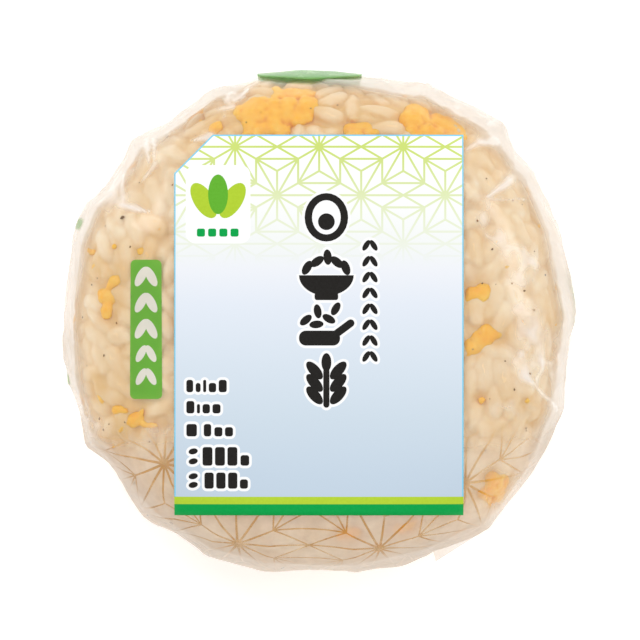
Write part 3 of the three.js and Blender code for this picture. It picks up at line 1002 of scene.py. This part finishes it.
def facets(rng, spacing):
    """Heights of a crumpled film, flat between creases, and a milkiness that varies from -1 to 1."""
    around = 2 * np.pi * HALF_WIDTH
    low, high = np.interp([0.25, 0.82], ARC_AT, ARC)
    seeds = np.zeros((0, 2))
    for _ in range(5000):
        one = np.array([rng.random() * around, low + (high - low) * rng.random()])
        away = np.abs(seeds - one)
        away[:, 0] = np.minimum(away[:, 0], around - away[:, 0])
        if not len(seeds) or np.hypot(*away.T).min() > spacing:
            seeds = np.concatenate([seeds, one[None]])
    values = rng.normal(0, 1, (len(seeds), 2))
    seeds = np.concatenate([seeds, seeds - (around, 0), seeds + (around, 0)])
    values = np.concatenate([values] * 3)
    keep = (seeds[:, 0] > -3 * spacing) & (seeds[:, 0] < around + 3 * spacing)
    seeds, values = seeds[keep], values[keep]
    made = delaunay_2d_cdt([Vector(p) for p in seeds.tolist()], [], [], 0, 1e-6)
    result = np.zeros((2, ROWS, COLUMNS))
    u, v = FILM_ANGLE * HALF_WIDTH, FILM_ARC
    for face in made[2]:
        (ax, ay), (bx, by), (cx, cy) = (made[0][k] for k in face)
        three = values[[made[3][k][0] for k in face]]
        rows = slice(*np.searchsorted(v, (min(ay, by, cy), max(ay, by, cy))))
        columns = slice(*np.searchsorted(u, (min(ax, bx, cx), max(ax, bx, cx))))
        x, y = np.meshgrid(u[columns] - ax, v[rows] - ay)
        area = (bx - ax) * (cy - ay) - (by - ay) * (cx - ax)
        wb = (x * (cy - ay) - y * (cx - ax)) / area
        wc = ((bx - ax) * y - (by - ay) * x) / area
        hit = (wb >= -1e-6) & (wc >= -1e-6) & (wb + wc <= 1 + 1e-6)
        for k in (0, 1):
            plane = three[0, k] * (1 - wb - wc) + three[1, k] * wb + three[2, k] * wc
            result[k, rows, columns][hit] = plane[hit]
    return result


def bend_of(lift):
    """How sharply the film bends outward at each place, in 1/mm."""
    g = wrap(lift)
    step = 2 * np.pi * HALF_WIDTH / COLUMNS
    across = (g[:, 1:-3] + g[:, 3:-1] - 2 * g[:, 2:-2]) / step**2
    down = np.gradient(np.gradient(lift, FILM_ARC, axis=0), FILM_ARC, axis=0)
    return -(across + down)


# Painted highlights on the front of the film, streaks and patches of reflected light drawn as milkiness:
# from, to, width in mm at each, strength
PAINTED_HIGHLIGHTS = [
    (-28.2, 29.8, -27.9, 25.9, 0.42, 0.25, 0.5), (-26.9, 29.8, -26.9, 25.9, 0.3, 0.25, 0.4),
    (-26.7, 25.4, -28.8, 22.4, 0.5, 0.1, 0.5), (-31.8, 23.7, -32.0, 19.6, 0.15, 0.42, 0.55),
    (-32.1, 18.9, -27.6, 17.6, 0.62, 0.1, 0.9), (-20.5, 29.2, -17.8, 29.5, 0.1, 0.62, 0.8),
    (-25.9, 25.1, -24.0, 22.7, 1.2, 0.8, 0.16), (-33.6, 24.4, -33.2, 19.5, 1.6, 1.9, 0.26),
    (-28.0, 31.2, -24.2, 33.6, 1.0, 1.5, 0.2), (-13.8, 35.8, -11.5, 37.7, 0.35, 0.12, 0.6),
    (-12.3, 37.4, -9.9, 39.2, 0.2, 0.35, 0.4), (-15.8, 34.2, -12.6, 36.2, 0.7, 0.3, 0.3),
    (23.7, 27.7, 25.8, 29.1, 0.3, 0.55, 0.5), (25.8, 29.1, 28.4, 29.1, 0.55, 0.4, 0.85),
    (27.2, 31.7, 27.9, 31.9, 0.3, 0.3, 0.8), (30.8, 22.9, 27.0, 19.9, 0.6, 0.2, 0.75),
    (27.0, 19.7, 33.2, 19.6, 0.3, 0.15, 0.3), (26.8, 19.6, 26.4, 16.4, 0.9, 1.3, 0.3),
    (27.8, 14.0, 31.8, 10.8, 0.9, 1.5, 0.32), (33.2, 9.6, 32.9, 8.6, 1.6, 1.3, 0.55),
    (32.2, 8.0, 30.9, 6.6, 1.5, 0.8, 0.36), (32.4, 2.4, 34.2, -2.6, 1.4, 2.3, 0.36),
    (34.4, -2.4, 34.6, -5.6, 2.1, 2.2, 0.4), (32.3, -5.8, 34.4, -10.6, 1.1, 0.35, 0.55),
    (36.9, -6.0, 34.9, -10.6, 0.7, 0.3, 0.45), (34.8, -10.6, 38.4, -14.2, 0.3, 0.2, 0.45),
    (28.5, -14.0, 37.2, -14.4, 0.8, 0.5, 0.14), (22.4, 34.6, 27.0, 33.0, 1.0, 0.7, 0.25),
    (-27.8, -17.8, -23.9, -17.0, 0.9, 0.7, 0.22), (-37.2, -14.5, -34.6, -23.0, 0.9, 0.9, 0.22),
]
PATCH_WIDTH = 0.65


def sheen(base, patchy):
    """Painted highlights: how milky the film is made under the streaks of reflected light; thin ones are
    smooth, and wide ones are patchy.
    """
    white = np.zeros(base.shape[:2])
    warp = np.stack([noise_grid(base, 0.45, 6), noise_grid(base, 0.45, 7)], -1)
    broken = noise_grid(base, 0.6, 8)
    for x0, y0, x1, y1, w0, w1, strength in PAINTED_HIGHLIGHTS:
        line = np.array([x1 - x0, y1 - y0])
        wide = max(w0, w1) > PATCH_WIDTH
        away = base[..., :2] + warp * (1.8 if wide else 0.3) - (x0, y0)
        t = np.clip(away @ line / (line @ line), 0, 1)
        gap = np.hypot(*np.moveaxis(away - t[..., None] * line, -1, 0)) / (w0 + (w1 - w0) * t)
        body = np.exp(-(gap**1.6)) + 0.2 * np.exp(-gap / 2)
        uneven = 0.9 * broken + 0.6 * patchy if wide else 0.5 * broken
        white = np.maximum(white, strength * body * (1 + uneven))
    return white * (base[..., 2] > MIDDLE) * (1 - smooth(0.42, 0.475, GRID_ALONG))


def build_film(rng, contents):
    """The film's points, its lift off its form, how milky it is with its painted highlights, and how bright
    those highlights are.
    """
    base = pack_point(GRID_ANGLE, GRID_ALONG)
    high = spread_most(resting(contents))
    drape = blur(spread_most(spread_most(high)), 6)
    drape = np.maximum(np.maximum(drape, blur(high, 1)), -0.55)
    cling = 1 - smooth(0.3, 1.4, room_at(GRID_ANGLE, GRID_ALONG))
    under = (base[..., 2] > MIDDLE) & in_label(base[..., 0], base[..., 1], -0.6)
    bare = 1 - blur(under.astype(float), 2)
    slack = (1 - cling) * bare
    lift = blur(np.where(cling > 0.5, drape, 0.0), 2) * cling * bare
    ridges, crest = fold_relief(make_folds(rng), base)
    large, small = facets(rng, 5.0), facets(rng, 2.6)
    coarse = noise_grid(base[::4, ::4], 0.11, 1)
    coarse = blur(np.repeat(np.repeat(coarse, 4, 0), 4, 1)[:ROWS, :COLUMNS], 10)
    creased = (0.34 * large[0] + 0.12 * small[0]) * slack
    lift = np.maximum(lift, -0.32 + 0.24 * smooth(-8, -15, base[..., 1]))
    lift = lift + creased + ridges * (0.3 + 0.5 * slack) * bare + (0.35 * coarse - 0.12) * slack
    film = off_form(GRID_ANGLE, GRID_ALONG, lift)
    film[..., 2] = np.maximum(film[..., 2], 0.03)
    crease = smooth(0.12, 0.75, bend_of(creased))
    between = np.clip((drape - high) * 1.5, 0, 1) * cling
    # Soft milky patches where the film bulges out: partly the film's own fog, partly painted highlight.
    mist_and_sheen = blur(np.maximum(0, coarse) ** 1.5, 2)
    rim = smooth(0.36, 0.43, GRID_ALONG) * (1 - 0.7 * smooth(0.47, 0.52, GRID_ALONG))
    rim = rim * (1 - smooth(0.6, 0.76, GRID_ALONG))
    haze = 0.07 + 0.04 * between + 0.05 * slack + rim * slack * (0.5 + 0.1 * large[1] + 0.07 * small[1])
    # Painted highlights: the haze rises along the crests of folds and along sharp creases, where light would
    # glint.
    haze = haze * (1 - 0.6 * clung(base)) + 0.4 * crease * rim + 0.3 * crest * (0.2 + 0.8 * slack)
    haze = np.clip(haze + 0.14 * mist_and_sheen + 0.05 * smooth(0.6, 0.75, GRID_ALONG), 0.03, 0.6)
    shine = sheen(base, 0.5 * small[1])
    return film, lift, np.clip(haze + shine, 0, 0.9), np.clip(3 * shine, 0, 1)


def film_values(grid, angle, along):
    """A value of the film's grid between its places."""
    column = np.degrees(angle) % 360 / 360 * COLUMNS
    row = np.clip(np.interp(along, FILM_ALONG, np.arange(ROWS)), 0, ROWS - 1.001)
    c0, r0 = np.floor(column).astype(int), np.floor(row).astype(int)
    fc, fr = column - c0, row - r0
    c0, c1 = c0 % COLUMNS, (c0 + 1) % COLUMNS
    upper = grid[r0, c0] * (1 - fc) + grid[r0, c1] * fc
    lower = grid[r0 + 1, c0] * (1 - fc) + grid[r0 + 1, c1] * fc
    return upper * (1 - fr) + lower * fr


# Prints


def inside(loop, points):
    """Which points are inside a closed outline."""
    x, y = points[:, 0], points[:, 1]
    found = np.zeros(len(points), bool)
    for (x0, y0), (x1, y1) in zip(loop, np.roll(loop, -1, 0)):
        cross = (y0 > y) != (y1 > y)
        with np.errstate(divide="ignore", invalid="ignore"):
            at = (x1 - x0) * (y - y0) / (y1 - y0) + x0
        found ^= cross & (x < at)
    return found


def ellipse(x, y, a, b, turn=0.0, sides=28):
    t = np.linspace(0, 2 * np.pi, sides, endpoint=False)
    c, s = math.cos(math.radians(turn)), math.sin(math.radians(turn))
    u, v = a * np.cos(t), b * np.sin(t)
    return np.stack([x + u * c - v * s, y + u * s + v * c], 1)


def round_box(x0, y0, x1, y1, radius, sides=6):
    points = []
    for cx, cy, start in (
        (x1 - radius, y1 - radius, 0),
        (x0 + radius, y1 - radius, 90),
        (x0 + radius, y0 + radius, 180),
        (x1 - radius, y0 + radius, 270),
    ):
        for i in range(sides + 1):
            a = math.radians(start + 90 * i / sides)
            points.append((cx + radius * math.cos(a), cy + radius * math.sin(a)))
    return np.array(points)


def capsule(x0, y0, x1, y1, radius, sides=7):
    a = math.atan2(y1 - y0, x1 - x0)
    points = []
    for cx, cy, start in ((x1, y1, a - math.pi / 2), (x0, y0, a + math.pi / 2)):
        for i in range(sides + 1):
            t = start + math.pi * i / sides
            points.append((cx + radius * math.cos(t), cy + radius * math.sin(t)))
    return np.array(points)


R3 = math.sqrt(3)
STAR_CELL = [
    ((0, 0), (R3, 0)), ((0, 0), (R3 / 2, 0.5)), ((R3 / 2, 0.5), (R3, 0)), ((0, 0), (R3 / 2, 1.5)),
    ((0, 0), (0, 1)), ((0, 1), (R3 / 2, 1.5)), ((R3 / 2, 0.5), (R3 / 2, 1.5)),
    ((R3 / 2, 0.5), (R3, 0.5)), ((R3 / 2, 1.5), (R3, 2)), ((R3 / 2, 1.5), (0, 2)),
    ((R3 / 2, 0.5), (R3, 2)), ((R3, 1), (R3, 2)), ((R3 / 2, 0.5), (R3, 1)), ((R3 / 2, 1.5), (0, 1.5)),
    ((0, 2), (R3, 2)),
]


def star_lines(unit, origin, box, turn=0.0):
    """The lines of the old hemp-leaf pattern that meet a box: an array of ends."""
    x0, y0, x1, y1 = box
    c, s = math.cos(math.radians(turn)), math.sin(math.radians(turn))

    def at(x, y):
        u, v = x * unit, y * unit
        return round(origin[0] + u * c - v * s, 4), round(origin[1] + u * s + v * c, 4)

    found = set()
    for i, j in product(range(-14, 15), repeat=2):
        ox, oy = 2 * R3 * i + R3 * j, 2 * j
        for mx, my, ends in product((1, -1), (1, -1), STAR_CELL):
            (p, q), (r, t) = sorted(at(ox + mx * px, oy + my * py) for px, py in ends)
            if max(p, r) >= x0 and min(p, r) <= x1 and max(q, t) >= y0 and min(q, t) <= y1:
                found.add((p, q, r, t))
    return np.array(sorted(found))


def wedge(x0, y0, x1, y1, w0, w1):
    """The outline of a line, with its width at each end."""
    long = math.hypot(x1 - x0, y1 - y0)
    nx, ny = (y0 - y1) / long / 2, (x1 - x0) / long / 2
    first = [(x0 + nx * w0, y0 + ny * w0), (x0 - nx * w0, y0 - ny * w0)]
    return np.array(first + [(x1 - nx * w1, y1 - ny * w1), (x1 + nx * w1, y1 + ny * w1)])


def near_lines(lines, points, width):
    found = np.zeros(len(points), bool)
    for x0, y0, x1, y1 in lines:
        d = np.array([x1 - x0, y1 - y0])
        away = points - (x0, y0)
        t = np.clip(away @ d / (d @ d), 0, 1)
        found |= np.hypot(*(away - t[:, None] * d).T) < width / 2
    return found


def split(loop, step):
    """The same outline with no side longer than the step."""
    points = []
    for a, b in zip(loop, np.roll(loop, -1, 0)):
        parts = max(1, math.ceil(np.linalg.norm(b - a) / step))
        points += [a + (b - a) * i / parts for i in range(parts)]
    return np.array(points)


def planar(outline, loops, grid):
    """Triangles that fill an outline and follow the edges of all the loops in it."""
    points, edges = [], []
    for loop in [split(each, grid) for each in (outline, *loops)]:
        start = len(points)
        points += [Vector(p) for p in loop.tolist()]
        edges += [(start + i, start + (i + 1) % len(loop)) for i in range(len(loop))]
    gx, gy = np.meshgrid(*(np.arange(side.min() + grid / 2, side.max(), grid) for side in outline.T))
    gx = gx + (np.arange(gx.shape[0])[:, None] % 2) * grid / 2
    free = np.stack([gx.ravel(), gy.ravel()], 1)
    points += [Vector(p) for p in free[inside(outline, free)].tolist()]
    made = delaunay_2d_cdt(points, edges, [], 0, 1e-5)
    flat = np.array([tuple(p) for p in made[0]])
    faces = np.array([tuple(f) for f in made[2] if len(f) == 3])
    return flat, facing_up(flat, faces[inside(outline, flat[faces].mean(1))])


def in_any(loops, points):
    return np.any([inside(loop, points) for loop in loops], 0).astype(int)


def box(x0, y0, x1, y1):
    return np.array([(x0, y0), (x1, y0), (x1, y1), (x0, y1)])


def compact(points, faces):
    used = np.unique(faces)
    index = np.full(len(points), -1)
    index[used] = np.arange(len(used))
    return points[used], index[faces]


def facing_up(points, faces):
    """The triangles turned to face up, without those that are too thin to have an area."""
    a, b, c = (points[faces[:, i]] for i in range(3))
    area = (b[:, 0] - a[:, 0]) * (c[:, 1] - a[:, 1]) - (b[:, 1] - a[:, 1]) * (c[:, 0] - a[:, 0])
    faces = np.where((area < 0)[:, None], faces[:, ::-1], faces)
    return faces[np.abs(area) > 1e-7]


# Which of the numbers that make an outline grow when it gets a border
GROWTH = {ellipse: (0, 0, 1, 1, 0), capsule: (0, 0, 0, 0, 1), round_box: (-1, -1, 1, 1, 1)}

# Rows of blocks in the label's lower left corner: foot, and left edge, width and height of each in mm
BLOCKS = (
    (-11.4, ((-21.5, 1.1, 2.0), (-20.0, 0.8, 1.5), (-18.8, 0.5, 2.0), (-17.9, 1.2, 1.5), (-16.3, 1.3, 2.0))),
    (-14.8, ((-21.5, 1.3, 2.0), (-19.8, 0.5, 1.5), (-18.9, 1.2, 1.5), (-17.3, 1.3, 1.5))),
    (-18.5, ((-21.5, 1.7, 2.0), (-18.7, 1.2, 2.0), (-17.0, 1.3, 1.5), (-15.3, 1.3, 1.5))),
    (-23.2, ((-18.9, 1.6, 3.0), (-16.9, 1.6, 3.0), (-14.9, 1.6, 3.0), (-12.8, 1.4, 1.7))),
    (-26.9, ((-18.6, 1.5, 2.6), (-16.7, 1.5, 2.6), (-14.8, 1.5, 2.6), (-12.9, 1.3, 1.5))),
)


def dark_signs():
    """The dark outlines on the label: an egg, a bowl of rice, a pan, an ear of rice, grains and blocks."""
    signs = [(ellipse, (1.0, 16.7, 3.5, 3.9, 0)), (round_box, (-0.9, 3.4, 2.9, 4.6, 0.4))]
    for x, y, turn in ((-2.1, 8.6, 60), (-0.5, 9.6, 35), (1.2, 10.3, 95), (2.7, 9.5, 140), (4.1, 8.6, 110)):
        signs.append((ellipse, (x, y, 1.25, 0.68, turn)))
    signs += [(round_box, (-3.4, -3.9, 3.2, -1.5, 1.1)), (capsule, (2.6, -2.0, 4.9, -0.3, 0.62))]
    for x, y, turn in ((-2.3, 0.2, 40), (-0.4, 1.6, 100), (1.4, 0.4, 150), (-0.6, -0.5, 5), (2.5, 2.0, 60)):
        signs.append((ellipse, (x, y, 1.15, 0.62, turn)))
    signs += [(capsule, (1.0, -13.4, 1.0, -8.0, 0.5)), (ellipse, (1.0, -6.6, 1.5, 0.8, 90))]
    pairs = [(-0.9, 2.9, -11.9 + 2.0 * k, 1.8, 0.85, 132) for k in range(3)]
    pairs += [(7.4, 8.6, 12.2 - 2.55 * k, 0.98, 0.44, 58) for k in range(8)]
    for left, right, y, a, b, turn in pairs:
        signs += [(ellipse, (left, y, a, b, turn)), (ellipse, (right, y, a, b, 180 - turn))]
    for low, blocks in BLOCKS:
        for x, wide, high in blocks:
            signs.append((round_box, (x, low, x + wide, low + high, min(0.4, wide / 2 - 0.01))))
    return signs + [(ellipse, (-20.4, y, 0.75, 0.48, 12)) for y in (-20.9, -22.5, -24.9, -26.3)]


def label_shapes():
    """What the label shows over its ground, in order: (outline, colour name)."""
    left, right, top, bottom, cut = LABEL.values()
    lime_top, green_top, border, hair = -28.2, -29.4, 0.42, 0.22

    # The white patch with a plain sprout of three grains, and a row of blocks below it
    shapes = [(round_box(-21.6, 12.5, -11.2, 25.1, 1.6), "white")]
    leaves = ((-18.7, 19.4, 122, "lime"), (-14.1, 19.4, 58, "lime"), (-16.4, 20.4, 90, "leaf"))
    shapes += [(ellipse(x, y, 3.2, 1.6, turn), color) for x, y, turn, color in leaves]
    for k in range(4):
        shapes.append((round_box(-19.8 + 1.8 * k, 13.6, -18.5 + 1.8 * k, 14.9, 0.3), "green_stripe"))

    # The dark signs, each on a white border, and the bowl's round foot among them
    t = np.linspace(0, np.pi, 22)
    bowl = np.stack([1.0 - 4.4 * np.cos(t), 7.4 - 3.3 * np.sin(t)], 1)
    out = bowl - bowl.mean(0)
    out /= np.linalg.norm(out, axis=1, keepdims=True)
    for more, color in ((border, "white"), (0, "dark_ink")):
        shapes.append((bowl + more * out, color))
        for make, numbers in dark_signs():
            shapes.append((make(*(v + more * g for v, g in zip(numbers, GROWTH[make]))), color))
    shapes += [(ellipse(1.0, 16.7, 2.3, 2.75), "white"), (ellipse(1.0, 16.0, 1.35, 1.35), "dark_ink")]

    # A hair of cyan round the edge, and two stripes at the foot
    low, slant = top - cut, hair * math.sqrt(2)
    corner = np.array([(left, low - slant), (left, low), (left + cut, top), (left + cut + slant, top)])
    return shapes + [
        (box(left, lime_top, left + hair, low), "cyan_edge"),
        (box(right - hair, lime_top, right, top), "cyan_edge"),
        (box(left + cut, top - hair, right, top), "cyan_edge"),
        (corner, "cyan_edge"),
        (box(left, green_top, right, lime_top), "lime_stripe"),
        (box(left, bottom, right, green_top), "green_stripe"),
    ]


# The label's inks, and the numbers of its materials
INKS = {
    "white": (252, 253, 253), "dark_ink": (34, 32, 30), "cyan_edge": (122, 208, 240), "lime": (176, 206, 52),
    "leaf": (98, 176, 48), "lime_stripe": (181, 211, 55), "green_stripe": (3, 162, 74),
}
LABEL_COLORS = ["paper", "lines", *INKS]


def build_label():
    """The label's sheet, and each triangle's material."""
    left, right, top, bottom, cut = LABEL.values()
    outline = np.array([(left, bottom), (right, bottom), (right, top), (left + cut, top), (left, top - cut)])
    unit, width = 3.9, 0.34
    lines = star_lines(unit, (-13.67, 28.05), (left, 8.5, right, top))
    shapes = label_shapes()
    edges = [wedge(*line, width, width) for line in lines.tolist()]
    flat, faces = compact(*planar(outline, edges + [s for s, _ in shapes], 1.6))
    middle = flat[faces].mean(1)
    which = near_lines(lines, middle, width) * LABEL_COLORS.index("lines")
    for loop, color in shapes:
        which[inside(loop, middle)] = LABEL_COLORS.index(color)
    z = front_height(flat[:, 0], flat[:, 1], LABEL_REACH) + LABEL_GAP + LABEL_THICK
    up = np.tile([0.0, 0.0, 1.0], (len(flat), 1))
    points, faces = solid_sheet(np.column_stack([flat, z]), faces, up, LABEL_THICK)
    back = np.full(len(faces) - len(which), LABEL_COLORS.index("white"))
    return points, faces, np.concatenate([which, back])


def on_film(angle, along, lift, off):
    return off_form(angle, along, film_values(lift, angle, along) + off)


# The lower part of the film has a milky print that leaves the lines of a star pattern clear
VEIL = {"unit": 6.8, "wide": 0.44, "narrow": 0.28, "origin": (-13.6, -36.7), "turn": -3.0}
VEIL_TOP, VEIL_SOLID, VEIL_SIDE, VEIL_FOOT, VEIL_REACH = -13.5, -23.5, 62.0, -66.0, 64.0


def star_shapes(lines, wide, narrow):
    """Each line as a wedge that widens to the star that it starts from, and a dot in each star's middle."""
    ends, count = np.unique(lines.reshape(-1, 2), axis=0, return_counts=True)
    width = {tuple(e): wide if n >= 8 else narrow for e, n in zip(ends.tolist(), count)}
    dots = [ellipse(*e, 0.75 * wide, 0.75 * wide, sides=12) for e in sorted(width) if width[e] == wide]
    return dots + [wedge(*line, width[tuple(line[:2])], width[tuple(line[2:])]) for line in lines.tolist()]


def build_veil(lift):
    """The milky print, how well it covers, how near the rim it is, and which triangles are its lines."""
    area = -VEIL_SIDE, VEIL_FOOT, VEIL_SIDE, VEIL_TOP
    lines = star_lines(VEIL["unit"], VEIL["origin"], area, VEIL["turn"])
    near = np.hypot(*(lines[:, :2] + lines[:, 2:]).T / 2) < VEIL_REACH
    shapes = star_shapes(lines[near], VEIL["wide"], VEIL["narrow"])
    flat, faces = planar(box(*area), shapes, 1.15)
    x, y = flat[faces].mean(1).T
    flat, faces = compact(flat, faces[(np.hypot(x, y) < VEIL_REACH) & ~in_label(x, y, 1.5)])
    far = np.hypot(*flat.T)
    angle, along = np.arctan2(flat[:, 1], flat[:, 0]), np.interp(far, ARC, ARC_AT)
    wavy = 1.6 * noise_grid(np.column_stack([flat, flat[:, 0] * 0]), 0.2, 9)
    cover = smooth(VEIL_TOP - 1.6, VEIL_SOLID, flat[:, 1] + wavy)
    cover = cover * (1 - smooth(VEIL_REACH - 8, VEIL_REACH - 1, far))
    rim = smooth(0.38, 0.44, along) * (1 - smooth(0.56, 0.62, along))
    points = on_film(angle, along, lift, PRINT_OFF)
    points[:, 2] = np.maximum(points[:, 2], 0.04)
    return points, faces, cover * (1 - 0.72 * clung(points)), rim, in_any(shapes, flat[faces].mean(1))


def build_badge(lift):
    """The small upright green field beside the label, with five pairs of pale grains on it."""
    outline = round_box(-30.6, -12.5, -25.4, 9.9, 0.8)
    outline[:, 0] -= (outline[:, 1] + 12.5) * 0.005 * np.sign(outline[:, 0] + 28)
    marks = []
    for y, size in ((7.2, 1.0), (3.0, 1.0), (-1.2, 1.0), (-5.2, 0.85), (-8.9, 0.85)):
        marks += [ellipse(x, y, 1.75 * size, 0.72 * size, turn) for x, turn in ((-28.8, 62), (-27.2, 118))]
    flat, faces = planar(outline, marks, 0.7)
    return on_film(*on_front(*flat.T), lift, PRINT_OFF), faces, in_any(marks, flat[faces].mean(1))


# Faint green remains of a print on the film's side: from, to in degrees, and from, to along the film
SIDE_MARKS = [(156.5, 159.5, 0.455, 0.5), (191.6, 194.4, 0.47, 0.515), (-3.0, 12.0, 0.47, 0.525)]


def build_side_marks(lift):
    """Small green fields, and how well they cover, which fades to their edges."""
    points, faces, cover = [], [], []
    for first, last, low, high in SIDE_MARKS:
        u, v = np.meshgrid(np.linspace(0, 1, 4 + int(last - first) * 2), np.linspace(0, 1, 9))
        angle = np.radians(first + (last - first) * u)
        faces.append(sheet_faces(*u.shape) + sum(len(p) for p in points))
        points.append(on_film(angle.ravel(), (low + (high - low) * v).ravel(), lift, 0.05))
        cover.append((np.sin(np.pi * u) * np.sin(np.pi * v)).clip(0, 1).ravel() ** 0.5)
    return np.concatenate(points), np.concatenate(faces), np.concatenate(cover)


def build_tape(lift):
    """The green tape, which comes round from the back over the top edge and stands a little off."""
    u, v = np.meshgrid(np.linspace(0, 1, 41), np.linspace(0, 1, 61))
    angle = np.arctan2(39.5, TAPE_MIDDLE + TAPE_WIDTH * (u - 0.5))
    front_edge = TAPE_LINE - 0.05 + 0.6 * np.abs(2 * u - 1)
    reach = film_reach(angle)
    start = front_along(np.clip(front_edge / np.sin(angle) / reach, 0, 0.9999))
    along = start + (1 - front_along(TAPE_BACK / reach) - start) * v
    ripple = 0.1 * np.sin(17 * u + 5 * v) * np.sin(np.pi * u) * (0.3 + v)
    bulge = (0.75 * np.sin(np.pi * u) + ripple) * np.sin(np.pi * v) ** 0.7
    off = TAPE_OFF + np.maximum(film_values(lift, angle, along), bulge)
    points = off_form(angle, along, off).reshape(-1, 3)
    return solid_sheet(points, sheet_faces(*u.shape), pack_normal(angle, along).reshape(-1, 3), TAPE_THICK)


def build_corner():
    """The loose corner of the film at the lower right, with its places across as complex numbers."""
    rows = 14
    u, v = np.meshgrid(np.linspace(0, 1, rows + 1), np.linspace(0, 1, rows + 1), indexing="ij")
    first, last = np.radians([295.7, 309])
    root = 39.5 * np.exp(1j * (first + 0.02)) * (1 - u) + 40.5 * np.exp(1j * last) * u
    tip = 43.1 * (np.exp(1j * first) * (1 - u) + np.exp(1j * last) * u)
    across = root * (1 - v) + tip * v
    z = 13.25 + 0.8 * (1 - v) * np.sin(3 * u + 0.4) + 0.25 * np.sin(9 * u) * v
    points = np.stack([across.real, across.imag, z], -1).reshape(-1, 3)
    k = (np.arange(rows)[:, None] * (rows + 1) + np.arange(rows)).ravel()
    faces = [np.stack([k, k + 1, k + rows + 2], 1), np.stack([k, k + rows + 2, k + rows + 1], 1)]
    return points, facing_up(points, np.concatenate(faces))


# The pieces

rng = np.random.default_rng(20)
noise.seed_set(7)

curds = curd_list(rng)
grains, grain_lines, grain_tints = build_grains(rng, curds)
curd_points, curd_faces, pit = build_curds(curds)
points, faces, brown = build_flecks(rng)
make_piece("egg_curds", curd_points, curd_faces, [egg_material()], pit=pit)
make_piece("pepper_flecks", points, faces, [pepper_material()], tint=brown)

rice_points, faces, tint = build_rice(grains, grain_lines, grain_tints, curd_points)
make_piece("rice_grains", rice_points, faces, [rice_material()], tint=tint)

film, lift, haze, shine = build_film(rng, np.concatenate([rice_points, curd_points]))
haze = np.concatenate([haze.ravel(), [haze[0].mean(), haze[-1].mean()]])
shine = np.concatenate([shine.ravel(), [0, 0]])
make_piece("film_shell", *closed(film), [film_material()], haze=haze, sheen=shine)

milky = print_material("milky_ink", MILKY, 0.44, 0.72, 0.4)
make_piece("film_corner", *build_corner(), [milky], cover=0.9)

points, faces, cover, rim, which = build_veil(lift)
inks = [milky, veil_line_material()]
make_piece("film_milky_print", points, faces, inks, which=which, cover=cover, rim=rim)

green = print_material("badge_green", srgb(112, 184, 66), 0.88, 0.94, 0.15)
white = print_material("badge_white", srgb(236, 234, 222), 0.9, 0.95, 0.15)
points, faces, which = build_badge(lift)
make_piece("film_badge", points, faces, [green, white], which=which, cover=1.0)

points, faces, cover = build_side_marks(lift)
faint = print_material("side_green", srgb(150, 196, 132), 0.5, 0.7, 0.4)
make_piece("film_side_marks", points, faces, [faint], cover=cover)

points, faces, which = build_label()
inks = [ink_material("label_" + name, srgb(*color)) for name, color in INKS.items()]
make_piece("label_sheet", points, faces, [paper_material(), line_material(), *inks], "label", which)

make_piece("tape_strip", *build_tape(lift), [tape_material()], "seal_tape")

# Floor, light and camera

HALF_FLOOR, FLOOR_Z = 4, -0.0002
floor_mesh = bpy.data.meshes.new("floor")
corners = ((-1, -1), (1, -1), (1, 1), (-1, 1))
floor_mesh.from_pydata([(x * HALF_FLOOR, y * HALF_FLOOR, FLOOR_Z) for x, y in corners], [], [(0, 1, 2, 3)])
floor_mesh.materials.append(floor_material())
add_object("floor", floor_mesh)

world = bpy.data.worlds.new("soft_studio")
world.use_nodes = True
sky = world.node_tree.nodes["Background"].inputs
sky["Color"].default_value = (1, 1, 1, 1)
sky["Strength"].default_value = 0.775
bpy.context.scene.world = world


def soft_light(name, place, size, power):
    light = bpy.data.lights.new(name, "AREA")
    light.shape = "DISK"
    light.size = size
    light.energy = power
    lamp = add_object(name, light)
    lamp.location = place
    aim = Vector((0, 0, 0.015)) - Vector(place)
    lamp.rotation_euler = aim.to_track_quat("-Z", "Y").to_euler()


soft_light("key", (-0.45, 0.5, 0.75), 0.45, 2.15)
soft_light("fill", (0.65, 0.15, 0.6), 0.4, 1.3)

view = bpy.context.scene.view_settings
view.view_transform = "Standard"
view.look = "None"
view.exposure = 0.0
view.gamma = 1.0

cycles = bpy.context.scene.cycles
cycles.max_bounces = 16
cycles.diffuse_bounces = 10
cycles.transparent_max_bounces = 24

# The camera looks straight down from far away; the frame is as wide as this at the pack's middle, in metres
FRAME = 0.1034
AWAY = 3.2
SENSOR = 36
camera_data = bpy.data.cameras.new("camera")
camera_data.sensor_width = SENSOR
camera_data.lens = SENSOR * (AWAY - MIDDLE * MM) / FRAME
camera_data.clip_start = 0.05
camera_data.clip_end = 20
camera = add_object("camera", camera_data)
camera.location = (0, 0, AWAY)
camera.rotation_euler = (0, 0, 0)
bpy.context.scene.camera = camera

bpy.context.view_layer.update()
